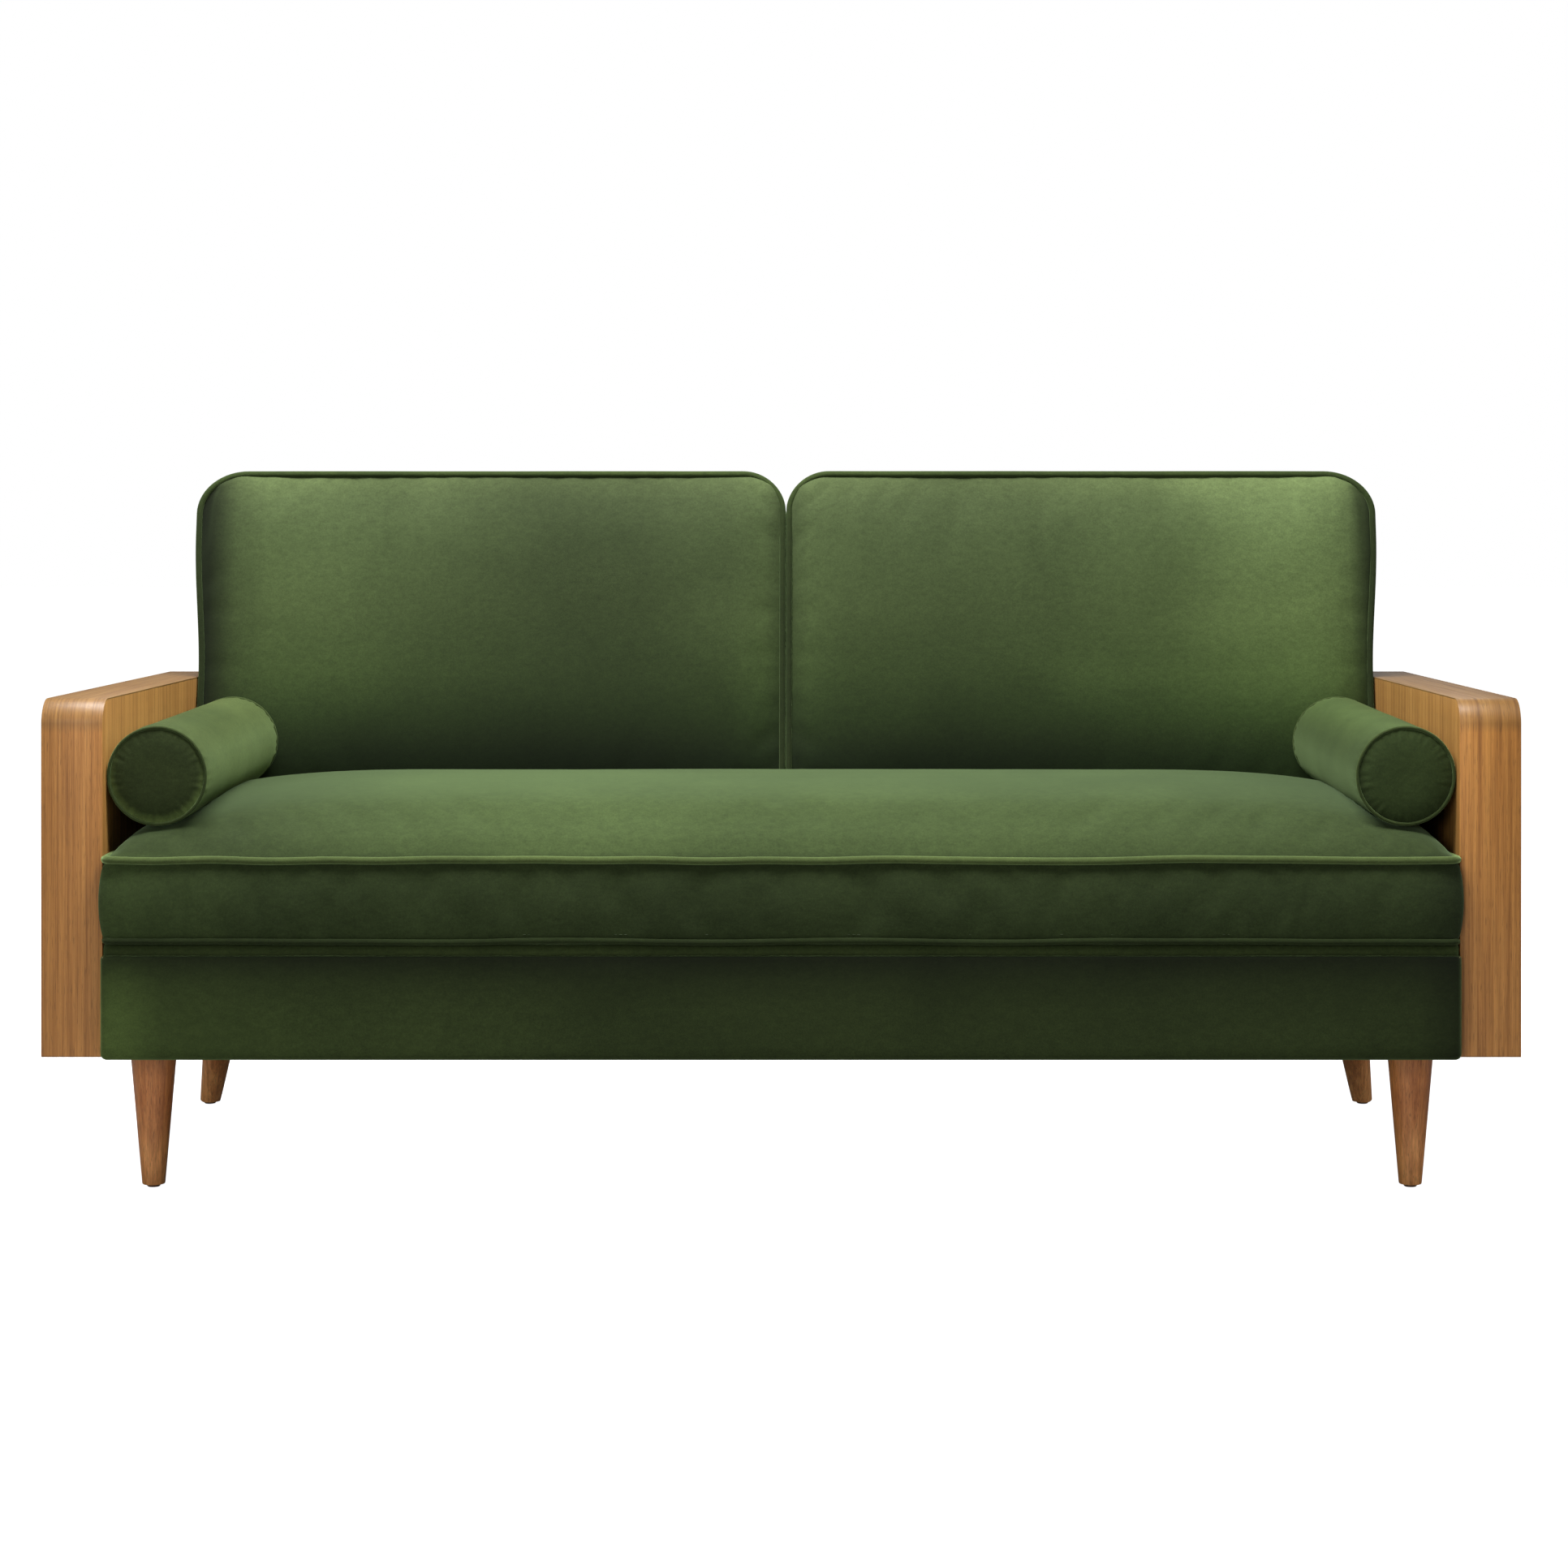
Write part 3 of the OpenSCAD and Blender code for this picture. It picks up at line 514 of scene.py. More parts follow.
# Painted light and shade across the backs: dark at the outer edges, lighter on their outer parts and by the middle
# seam, and the right back lighter than the left.
BACK_PAINTED_LIGHT_ACROSS = (X, -0.82, 0.82, [(0.5 + x / 1.64, k) for x, k in (
    (-0.81, 0.04), (-0.795, 0.07), (-0.775, 0.27), (-0.755, 0.5), (-0.71, 0.64), (-0.62, 0.58), (-0.5, 0.45),
    (-0.34, 0.34), (-0.2, 0.32), (-0.08, 0.42), (-0.03, 0.58), (-0.012, 0.45), (0.012, 0.42), (0.03, 0.53),
    (0.08, 0.45), (0.2, 0.41), (0.34, 0.49), (0.5, 0.66), (0.62, 0.86), (0.71, 1.0), (0.755, 1.0),
    (0.775, 0.9), (0.79, 0.5), (0.81, 0.1))])
# The backs' velvet is made several times lighter, with more blue, so that the painted shade and light on the front
# faces can darken it; behind the front seam one even shade brings it back down.
BACK_GREEN = [(4.5 * r, 4.5 * g, 5.4 * b) for r, g, b in (GREEN_DARK, GREEN_LIGHT)]
THROUGH_BACKS = (0, math.cos(LEAN), -math.sin(LEAN))
HINGE_THROUGH = Vector(THROUGH_BACKS).dot(Vector((0, HINGE.y, HINGE.z)))
BEHIND_FRONT_SEAM = (THROUGH_BACKS, HINGE_THROUGH - 0.055, HINGE_THROUGH - 0.05, [(0.0, 0.0), (1.0, 1.0)])
BACK_VELVET = velvet("velvet backs", *BACK_GREEN, SHEEN_GREEN, 0.2, painted_shades=(even(0.34),),
                     part_painted_shades=(BACK_PAINTED_SHADE_UPWARDS, BACK_PAINTED_LIGHT_ACROSS), where=BEHIND_FRONT_SEAM)
BEHIND_DISCS = (Y, ARM_LOW.y + 0.008, ARM_LOW.y + 0.024, [(0.5, 0.0), (0.7, 1.0)])
# Painted light on the bolsters: the left one lighter low down, the right one lighter at the top.
LEFT_BOLSTER_PAINTED_LIGHT = (Z, BOLSTER_LOW.z, BOLSTER_HIGH.z, [(0.0, 1.0), (0.35, 1.0), (0.6, 0.52), (0.95, 0.4)])
RIGHT_BOLSTER_PAINTED_LIGHT = (Z, BOLSTER_LOW.z, BOLSTER_HIGH.z, [(0.0, 0.5), (0.5, 0.45), (0.7, 0.55), (0.93, 1.0)])
# Lit and shaded copies of one velvet: the left bolster about two and a half times as light as the right, and the
# discs at their front ends darkened by painted shade.
BOLSTER_VELVET = {
    "left": velvet("velvet left bolster", (0.086, 0.128, 0.034), (0.172, 0.238, 0.068), SHEEN_GREEN, 0.16,
                   painted_shades=(LEFT_BOLSTER_PAINTED_LIGHT,), part_painted_shades=(even(0.26),), where=BEHIND_DISCS),
    "right": velvet("velvet right bolster", (0.031, 0.052, 0.014), (0.062, 0.095, 0.026), SHEEN_GREEN, 0.16,
                    painted_shades=(RIGHT_BOLSTER_PAINTED_LIGHT,), part_painted_shades=(even(0.66),), where=BEHIND_DISCS)}
SEAT_TOP = (Z, SEAT_LOW.z + 0.08, SEAT_LOW.z + 0.13, [(0.4, 0.0), (0.6, 1.0)])
# Painted light on the seat's boxing: lightest at the left end, darker along the rest and darkest at the right end.
BOXING_PAINTED_LIGHT = (X, -0.81, 0.81, [(0.0, 1.0), (0.025, 1.0), (0.05, 0.84), (0.11, 0.66), (0.25, 0.66),
                                (0.35, 0.57), (0.5, 0.6), (0.85, 0.6), (0.96, 0.62), (1.0, 0.3)])
# Painted shade on the seat's top: darker at both ends beside the bolsters, and a little darker to the right.
SEAT_TOP_PAINTED_SHADE = (X, -0.81, 0.81, [(0.0, 0.6), (0.1, 0.66), (0.22, 0.97), (0.3, 1.0), (0.7, 0.9), (0.88, 0.8),
                              (1.0, 0.6)])
# A lighter copy of the velvet for the seat: painted light on its top, which the painted shade darkens at the ends
# and on the boxing.
SEAT_GREEN = [(1.4 * r, 1.44 * g, 1.6 * b) for r, g, b in (GREEN_DARK, GREEN_LIGHT)]
SEAT_VELVET = velvet("velvet seat", *SEAT_GREEN, (0.58, 0.86, 0.46), 0.28, painted_shades=(SEAT_TOP_PAINTED_SHADE,),
                     part_painted_shades=(BOXING_PAINTED_LIGHT,), where=SEAT_TOP)
# Painted shadow on the box: darker towards the top, under the seat's lip.
BOX_PAINTED_SHADOW = (Z, BOX_LOW.z, BOX_HIGH.z, [(0.0, 0.9), (0.12, 1.0), (0.5, 0.9), (0.75, 0.66), (0.92, 0.34),
                                        (1.0, 0.2)])
# Painted light across the box: lightest at the left end, darker to the right.
BOX_PAINTED_LIGHT_ACROSS = (X, -0.81, 0.81, [(0.0, 1.0), (0.02, 1.0), (0.048, 0.6), (0.11, 0.5), (0.23, 0.4), (0.35, 0.31),
                               (0.82, 0.31), (0.91, 0.34), (0.965, 0.3), (1.0, 0.12)])
# A lighter copy of the velvet for the box, which the painted shadow and light darken.
BOX_GREEN = [(2.2 * r, 2.25 * g, 2.1 * b) for r, g, b in (GREEN_DARK, GREEN_LIGHT)]
BOX_VELVET = velvet("velvet box", *BOX_GREEN, SHEEN_GREEN, 0.4, painted_shades=(BOX_PAINTED_SHADOW, BOX_PAINTED_LIGHT_ACROSS))
THREAD = plain("thread", (0.03, 0.05, 0.015), 0.8, grain=2500.0, depth=0.1)
OAK = ((0.563, 0.251, 0.056), (0.458, 0.19, 0.038), (0.30, 0.112, 0.020))
# A darker, less red copy of the oak for the arms' sides: painted shade.
OAK_PAINTED_SHADE = ((0.47, 0.238, 0.062), (0.38, 0.18, 0.042), (0.25, 0.106, 0.022))
# Painted shade on the arms' tops: darker and less red towards the top, the pale tint standing for reflection.
ARM_TOP_PAINTED_SHADE = (Z, ARM_HIGH.z - 0.04, ARM_HIGH.z, [
    (0.0, 1.0), (0.3, (0.7, 0.76, 0.85)), (0.7, (0.5, 0.58, 0.72)), (1.0, (0.4, 0.48, 0.62))])
OAK_WRAP = wood("oak veneer, bent", *OAK, (X, NONE, (0, 1, 1)), ramps=(ARM_TOP_PAINTED_SHADE,))
# Painted shade on the right arm's inner side, a quarter darker than the other sides.
ARM_SIDES_PAINTED_SHADE = (X, -0.9, 0.9, [(0.4, 1.0), (0.6, 0.74), (0.957, 0.74), (0.972, 1.0)])
OAK_SIDE = wood("oak veneer, side", *OAK_PAINTED_SHADE, (Y, NONE, Z), ramps=(ARM_SIDES_PAINTED_SHADE,))
OAK_STRIP = wood("oak veneer, strip", *OAK, (X, NONE, (0, 1, 1)))
# A light copy of the leg brown: painted light on the feet, which the painted shade darkens upwards.
LEG_BROWN = ((0.92, 0.44, 0.15), (0.75, 0.32, 0.10), (0.54, 0.21, 0.065))
# Painted shade on the legs: darker from the foot up towards the box above them.
LEG_PAINTED_SHADE = (Z, 0.0, BOX_LOW.z, [
    (0.0, 1.0), (0.22, (0.97, 0.95, 0.92)), (0.42, (0.72, 0.62, 0.52)), (0.6, (0.66, 0.53, 0.41)),
    (1.0, (0.62, 0.5, 0.38))])
LEG_WOOD = wood("leg wood", *LEG_BROWN, (X, Y, Z), 0.8, 0.45, ramps=(LEG_PAINTED_SHADE,))
SOFTWOOD = wood("softwood", (0.72, 0.52, 0.3), (0.64, 0.44, 0.24), (0.5, 0.32, 0.16), (Y, Z, X), 0.6, 0.7)
BLACK_CLOTH = plain("black cloth", (0.018, 0.018, 0.02), 0.9, grain=1400.0, depth=0.15)
FOAM = plain("foam", (0.8, 0.7, 0.42), 0.95, grain=600.0, depth=0.3)
STEEL = plain("zinc plated steel", (0.55, 0.56, 0.57), 0.35, metal=1.0, grain=120.0, depth=0.02)
PLASTIC = plain("brown plastic", (0.16, 0.08, 0.045), 0.5, grain=800.0)
BY_SLOT = {"velvet": VELVET, "oak": OAK_SIDE, "leg_wood": LEG_WOOD, "pine": SOFTWOOD, "foam": FOAM,
           "black_cloth": BLACK_CLOTH, "steel": STEEL, "brown_plastic": PLASTIC}


def dress_frame():
    """Gives every carried-over CAD node the material of its slot."""
    for entry in frame["record"]["subparts"]:
        node = frame["nodes"][entry["node"]]
        for place in node.material_slots:
            place.material = BY_SLOT[entry["material_slot"]]


# ---------- cushions ----------

def puff(obj, held, cap, pressure=4.0, frames=20):
    """Fills a closed cover by cloth simulation: held points stay still, the rest near their start."""
    scene = bpy.context.scene
    start = coordinates(obj.data)
    group = obj.vertex_groups.new(name="held")
    group.add([int(i) for i in np.flatnonzero(held)], 1.0, "REPLACE")
    cloth = obj.modifiers.new("cloth", "CLOTH")
    settings = cloth.settings
    settings.quality = 5
    settings.mass = 0.3
    settings.tension_stiffness = 15
    settings.compression_stiffness = 15
    settings.shear_stiffness = 5
    settings.bending_stiffness = 0.5
    settings.use_pressure = True
    settings.uniform_pressure_force = pressure
    settings.effector_weights.gravity = 0
    settings.vertex_group_mass = group.name
    settings.shrink_min = -0.012
    for i in range(1, frames + 1):
        scene.frame_set(i)
    evaluated = obj.evaluated_get(bpy.context.evaluated_depsgraph_get())
    moved = coordinates(evaluated.data) - start
    obj.modifiers.clear()
    obj.vertex_groups.clear()
    scene.frame_set(1)
    distance = np.linalg.norm(moved, axis=1)
    keep = np.where(distance > 1e-9, cap * np.tanh(distance / cap) / np.maximum(distance, 1e-9), 1)
    set_coordinates(obj.data, start + moved * keep[:, None])


def dome(distance, reach, power=2.5):
    """A cushion's rise, from 0 at a seam to 1 at some reach inside it, steep at first."""
    t = np.clip(distance / reach, 0, 1)
    return (1 - (1 - t) ** power) ** (1 / power)


SEAM_LAP = 5 * MM

# Seat: a crowned top, a boxing that swells between two piped seams, and a flat underside
SEAM_Z = SEAT_LOW.z + 100 * MM
LOWER_SEAM_Z = SEAT_LOW.z + 4 * MM
SEAT_CORNER_R = 12 * MM
SEAT_SWELL = 5 * MM
SEAT_MID = (SEAT_LOW + SEAT_HIGH) / 2
SEAT_HALF = (SEAT_HIGH - SEAT_LOW) / 2
CROWN = SEAT_HIGH.z - SEAM_Z


def seat_place(uvw):
    """The cover of the seat cushion: a crowned top, a swelling boxing and a flat underside."""
    u, v, w = uvw.T
    x = SEAT_HALF.x * u
    y = SEAT_HALF.y * v
    side = np.maximum(np.abs(u), np.abs(v)) > 1 - 1e-9
    z = SEAT_LOW.z + (SEAM_Z - SEAT_LOW.z) * (w + 1) / 2
    rise = dome(SEAT_HALF.x - SEAM_LAP - np.abs(x), 354 * MM) * np.where(
        y < 0, dome(SEAT_HALF.y - SEAM_LAP + y, 300 * MM), dome(SEAT_HALF.y - y, 190 * MM))
    z = np.where(w > 1 - 1e-9, SEAM_Z + CROWN * rise, z)
    swell = SEAT_SWELL * np.sin(math.pi * (w + 1) / 2) ** 0.7 * side - 4 * MM
    r = SEAT_CORNER_R
    ax, ay = round_corner(np.abs(x), np.abs(y), SEAT_HALF.x - r, SEAT_HALF.y - r, r)
    past_arm = side * 4.5 * MM * ease((ARM_LOW.y - SEAT_MID.y - y) / (8 * MM))
    ax = ax + (swell + past_arm * np.sin(math.pi * (w + 1) / 2) ** 0.5) * (np.abs(u) > 1 - 1e-9)
    ay = ay + swell * (np.abs(v) > 1 - 1e-9)
    return np.column_stack([SEAT_MID.x + np.sign(u) * ax, SEAT_MID.y + np.sign(v) * ay, z])


def lattice_ring(axes, fixed_axis, fixed, steps):
    """Lattice places round the edge of a face: along one axis, then the other, and back."""
    a, b = axes
    ring = []
    for start, end in (((-1, -1), (1, -1)), ((1, -1), (1, 1)), ((1, 1), (-1, 1)), ((-1, 1), (-1, -1))):
        count = steps[0] if start[1] == end[1] else steps[1]
        for i in range(count):
            t = i / count
            place = [0.0, 0.0, 0.0]
            place[fixed_axis] = fixed
            place[a] = start[0] + (end[0] - start[0]) * t
            place[b] = start[1] + (end[1] - start[1]) * t
            ring.append(place)
    return np.array(ring)


def bolster_axis(side):
    """A bolster's front end, its direction and its length."""
    rise = 10 * MM
    r = (BOLSTER_HIGH.x - BOLSTER_LOW.x) / 2
    front = Vector((side * (BOLSTER_LOW.x + r), BOLSTER_LOW.y + 1 * MM, BOLSTER_LOW.z + r))
    rear = Vector((side * (BOLSTER_LOW.x + r), BOLSTER_HIGH.y - 1 * MM, BOLSTER_HIGH.z - r))
    return front, (rear - front).normalized(), (rear - front).length, r


def seat():
    """The seat cushion's cover, filled, and pressed in where the bolsters lie."""
    cells = (134, 44, 10)
    obj, uvw = box_skin("seat_cushion_cover", cells, seat_place, SEAT_VELVET)
    on_side = np.maximum(np.abs(uvw[:, 0]), np.abs(uvw[:, 1])) > 1 - 1e-9
    seam = on_side & (np.abs(uvw[:, 2]) > 1 - 1e-9)
    underside = uvw[:, 2] < -1 + 1e-9
    puff(obj, seam | underside, 9 * MM)
    subdivide(obj)
    points = coordinates(obj.data)
    top = ease((points[:, 2] - SEAM_Z) / (12 * MM))
    points[:, 2] += top * 0.4 * MM * bumps(points, 0.3, 3)
    front = ease((SEAT_LOW.y + 12 * MM - points[:, 1]) / (10 * MM))
    between = ease((points[:, 2] - LOWER_SEAM_Z) / (14 * MM)) * ease((SEAM_Z - points[:, 2]) / (14 * MM))
    points[:, 1] -= front * between * 0.3 * MM * bumps(points * (1, 1, 0.4), 0.16, 5)
    for _, side in SIDES:
        start, direction, length, r = bolster_axis(side)
        across = points[:, 0] - start.x
        along = points[:, 1] - start.y
        axis_z = start.z + direction.z / direction.y * along
        bed = axis_z - np.sqrt(np.clip(r * r - across * across, 0, None)) - 0.7 * MM
        beside = (np.abs(across) < r) & (along > -4 * MM) & (along < length + 4 * MM)
        under = beside & (points[:, 2] > SEAM_Z)
        points[:, 2] = np.where(under, np.minimum(points[:, 2], bed), points[:, 2])
    set_coordinates(obj.data, points)
    finish_piece(obj, "base", "velvet", "seat_cushion")
    seat_piping()


def seat_piping():
    """The piped seams above and below the boxing."""
    # The upper piping takes painted light, the lower one painted shade.
    for name, level, radius, seed, material in (("seat_upper_piping", 1.0, 4.7, 11, PIPING_PAINTED_LIGHT),
                                                ("seat_lower_piping", -1.0, 3.8, 12, PIPING_PAINTED_SHADE)):
        ring = lattice_ring((0, 1), 2, level, (200, 66))
        path = seat_place(ring)
        if level < 0:
            path[:, 2] = LOWER_SEAM_Z
        path[:, 2] += 0.9 * MM * bumps(path, 0.16, seed)
        outward = np.where(np.abs(ring[:, :2]) > 0.999, ring[:, :2], 0)
        path[:, 0] += 2.0 * MM * outward[:, 0]
        path[:, 1] += np.where(outward[:, 1] < 0, -3.2, -3.5 * outward[:, 1]) * MM * (outward[:, 1] != 0)
        pipe = tube(name, path, radius * MM, material)
        finish_piece(pipe, "base", "velvet")
    seat_stitches()


def seat_stitches():
    """A row of stitches on the front of the boxing, just above the lower piping."""
    pitch = 6 * MM
    length = 4 * MM
    count = int(2 * (SEAT_HALF.x - 30 * MM) / pitch)
    stitches = []
    for i in range(count):
        x = -SEAT_HALF.x + 30 * MM + i * pitch
        y = SEAT_LOW.y + 2.6 * MM
        z = LOWER_SEAM_Z + 8 * MM
        path = [(x + length * t, y + dip * MM, z) for t, dip in ((0, 0.6), (0.2, 0), (0.8, 0), (1, 0.6))]
        stitches.append(tube(f"stitch_{i}", path, 0.35 * MM, THREAD, closed=False, sides=5))
    finish_piece(join("seat_stitches", stitches), "base", "velvet")


# Backs, in a frame on the hinge line with Z along the leaning back and Y towards the rear
BACK_T = 135 * MM
BACK_R = BACK_T / 2
BACK_TOP = (BACK_HIGH.z - HINGE.z - BACK_R * math.sin(LEAN)) / math.cos(LEAN) + 1 * MM
BACK_X0, BACK_X1 = BACK_LOW.x, BACK_HIGH.x
BACK_CORNER_R = 58 * MM
ARM_SWEEP = 250 * MM
FRONT_SEAM_N = -56 * MM
REAR_SEAM_N = 60 * MM


def back_to_row(points, side):
    """Turns points from a right-hand back's own frame to the row frame, mirrored for the left."""
    x, n, s = points.T
    c, t = math.cos(LEAN), math.sin(LEAN)
    return np.column_stack([side * x, HINGE.y + n * c + s * t, HINGE.z + s * c - n * t])


def back_from_row(points, side):
    """Turns points from the row frame to a right-hand back's own frame."""
    x, y, z = points.T
    c, t = math.cos(LEAN), math.sin(LEAN)
    dy, dz = y - HINGE.y, z - HINGE.z
    return np.column_stack([side * x, dy * c - dz * t, dy * t + dz * c])


def back_place(uvw):
    """The cover of a right-hand back: a puffed front, a swelling boxing and a half-round lower end."""
    u, v, w = uvw.T
    mid, half = (BACK_X0 + BACK_X1) / 2, (BACK_X1 - BACK_X0) / 2
    low, high = -BACK_R, BACK_TOP
    r = BACK_CORNER_R
    flat_x, flat_s = half * u, low + (high - low) * (w + 1) / 2
    ax, s = round_corner(np.abs(flat_x), flat_s, half - r, high - r, r)
    # The boxing and its seams move straight out from the outline
    to_x, to_s = np.clip(ax - (half - r), 0, None), np.clip(s - (high - r), 0, None)
    reach = np.maximum(np.hypot(to_x, to_s), 1e-6)
    on_edge = (np.abs(u) > 1 - 1e-9) | (w > 1 - 1e-9)
    outer = ease((flat_x - half + 200 * MM) / (150 * MM))
    widening = outer * 11 * MM * ease((s - ARM_SWEEP + 60 * MM) / (200 * MM))
    move = on_edge * (3 * MM * np.sin(math.pi * (v + 1) / 2) ** 0.7 - 2.5 * MM)
    ax, s = ax + (move + on_edge * widening) * to_x / reach, s + move * to_s / reach
    edge = np.minimum(half - np.abs(flat_x), high - flat_s)
    belly = 0.12 + 0.88 * dome(s - 55 * MM, 170 * MM, 2)
    front_n = FRONT_SEAM_N - 21 * MM * belly * dome(edge - SEAM_LAP, 190 * MM, 2.2)
    rear_n = REAR_SEAM_N + 5 * MM * dome(edge, 60 * MM)
    n = front_n + (rear_n - front_n) * (v + 1) / 2
    rolled_n, rolled_s = round_corner(np.abs(n), -s, 0 * n, 0 * n, BACK_R)
    n = np.where(s < 0, np.sign(n) * np.minimum(rolled_n, BACK_R), n)
    s = np.where(s < 0, -rolled_s, s)
    return np.column_stack([mid + np.sign(u) * ax, n, s])


def back(name, side):
    """One back cushion's cover, filled."""
    cells = (76, 10, 52)

    def place(lattice):
        return back_to_row(back_place(lattice), side)

    obj, uvw = box_skin(f"back_{name}_cushion_cover", cells, place, BACK_VELVET)
    at_end = uvw > 1 - 1e-9
    at_end[:, :2] |= uvw[:, :2] < -1 + 1e-9
    seam = at_end.sum(axis=1) >= 2
    lower = back_place(uvw)[:, 2] < 20 * MM
    rear = uvw[:, 1] > 1 - 1e-9
    puff(obj, seam | lower | rear, 10 * MM)
    subdivide(obj)
    own = back_from_row(coordinates(obj.data), side)
    front = ease((-own[:, 1] - 40 * MM) / (20 * MM)) * ease((own[:, 2] - 20 * MM) / (60 * MM))
    own[:, 1] -= front * 0.7 * MM * bumps(own, 0.25, 20 + side)
    outer_limit = BACK_X1 + 1.5 * MM + 14 * MM * ease((own[:, 2] - ARM_SWEEP + 60 * MM) / (200 * MM))
    own[:, 0] = np.clip(own[:, 0], 0.15 * MM, outer_limit)
    set_coordinates(obj.data, back_to_row(own, side))
    cut_hinge_slots(obj, side)
    finish_piece(obj, f"back_{name}", "velvet", f"back_{name}_cushion", f"back_{name}_rear_panel")
    back_piping(name, side)


def cut_hinge_slots(obj, side):
    """Opens the slits in the lower end through which the hinge plates pass, from below round to the rear."""
    leaf_low, leaf_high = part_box("back_right_hinge_leaves")
    half_w, reach, r = 12 * MM, 80 * MM, 24 * MM
    outline = [(-26 * MM, -reach), (reach, -reach), (reach, r), (-26 * MM, r)]
    for x in (leaf_low.x + 5.5 * MM, leaf_high.x - 5.5 * MM):
        ends = np.array([(x + dx, n, s) for dx in (-half_w, half_w) for n, s in outline])
        faces = [[0, 1, 2, 3], [4, 5, 6, 7]] + [[k, (k + 1) % 4, 4 + (k + 1) % 4, 4 + k] for k in range(4)]
        cutter = new_object("cutter", back_to_row(ends, side), faces, VELVET, smooth=False)
        modifier = obj.modifiers.new("slit", "BOOLEAN")
        modifier.operation = "DIFFERENCE"
        modifier.solver = "EXACT"
        modifier.object = cutter
        bake_modifiers(obj)
        bpy.data.objects.remove(cutter)


def back_piping(name, side):
    """The piped seams in front of and behind a back's boxing, open at the lower end."""
    for label, v, seed in (("front", -1.0, 31), ("rear", 1.0, 32)):
        ring = lattice_ring((0, 2), 1, v, (110, 76))
        own = back_place(ring)
        keep = own[:, 2] > 45 * MM
        start = int(np.argmax(keep & ~np.roll(keep, 1)))
        own = np.roll(own, -start, 0)
        own = own[own[:, 2] > 45 * MM]
        own[:, 1] += (-2.2 if v < 0 else 1.5) * MM + 0.5 * MM * bumps(own, 0.18, seed)
        own[:, 0] = np.maximum(own[:, 0], 4.6 * MM)
        path = back_to_row(own, side)
        pipe = tube(f"back_{name}_{label}_piping", path, 4.2 * MM, BACK_PIPING, closed=False)
        finish_piece(pipe, f"back_{name}", "velvet")


def bolster(name, side):
    """A bolster's cover, puckered where its ends are sewn on, and the piping at its ends."""
    start, direction, length, r = bolster_axis(side)
    matrix = Matrix.Translation(start) @ direction.to_track_quat("Z", "Y").to_matrix().to_4x4()
    seam_r = r - 2.6 * MM
    rings = 14
    profile = [(seam_r * i / rings, 6 * MM * (i / rings) ** 4 - 3 * MM) for i in range(rings + 1)]
    body_rings = 70
    for i in range(body_rings + 1):
        height = 3 * MM + (length - 6 * MM) * (1 + crowd(2 * i / body_rings - 1, 0.6)) / 2
        inset = min(height, length - height) - 3 * MM
        profile.append((seam_r + 0.6 * MM + 2 * MM * float(dome(inset, 30 * MM, 2.2)), height))
    profile += [(radius, length - height) for radius, height in reversed(profile[:rings + 1])]
    phase = 1.7 * side

    def pucker(turns, radius, height):
        on_body = radius > 0.75 * r
        inside = min(height, length - height)
        near = math.exp(-inside / (11 * MM) if on_body else (radius - seam_r) / (8 * MM))
        folds = np.sin(turns * 23 + phase) * np.sin(turns * 5 + 2 * phase)
        folds += 0.7 * np.sin(turns * 37 + phase * 3)
        return (1.5 if on_body else 0.8) * MM * near * folds

    obj = lathe(f"bolster_{name}_velvet", profile, matrix, BOLSTER_VELVET[name], 120, pucker)
    subdivide(obj)
    points = coordinates(obj.data)
    centre = np.array(start + direction * (length / 2))
    points += (points - centre) * (0.006 * bumps(points, 0.12, 40 + side))[:, None] * (1, 0, 1)
    set_coordinates(obj.data, points)
    finish_piece(obj, f"bolster_{name}", "velvet", f"bolster_{name}_cover")
    pipe_r = 2.1 * MM
    for label, height in (("front", 2.4 * MM), ("rear", length - 2.4 * MM)):
        ring = []
        for a in np.linspace(0, 2 * math.pi, 96, endpoint=False):
            wave = 0.4 * MM * math.sin(7 * a + phase) * math.sin(3 * a)
            out = seam_r + 0.5 * MM
            ring.append(matrix @ Vector((out * math.cos(a), out * math.sin(a), height + wave)))
        pipe = tube(f"bolster_{name}_{label}_piping", ring, pipe_r, VELVET)
        finish_piece(pipe, f"bolster_{name}", "velvet")


# ---------- box and lip ----------

def ring_path(low, high, radius, steps=8, straight=60):
    """Places and outward directions round a level rectangle with round corners."""
    path = []
    corners = [((high.x - radius, low.y + radius), -90), ((high.x - radius, high.y - radius), 0),
               ((low.x + radius, high.y - radius), 90), ((low.x + radius, low.y + radius), 180)]
    for i, ((cx, cy), turn) in enumerate(corners):
        for k in range(steps + 1):
            a = math.radians(turn + 90 * k / steps)
            outward = Vector((math.cos(a), math.sin(a), 0))
            path.append((Vector((cx, cy, 0)) + outward * radius, outward))
        (nx, ny), _ = corners[(i + 1) % 4]
        a = math.radians(turn + 90)
        outward = Vector((math.cos(a), math.sin(a), 0))
        begin = path[-1][0]
        end = Vector((nx, ny, 0)) + outward * radius
        for k in range(1, straight):
            path.append((begin.lerp(end, k / straight), outward))
    return path


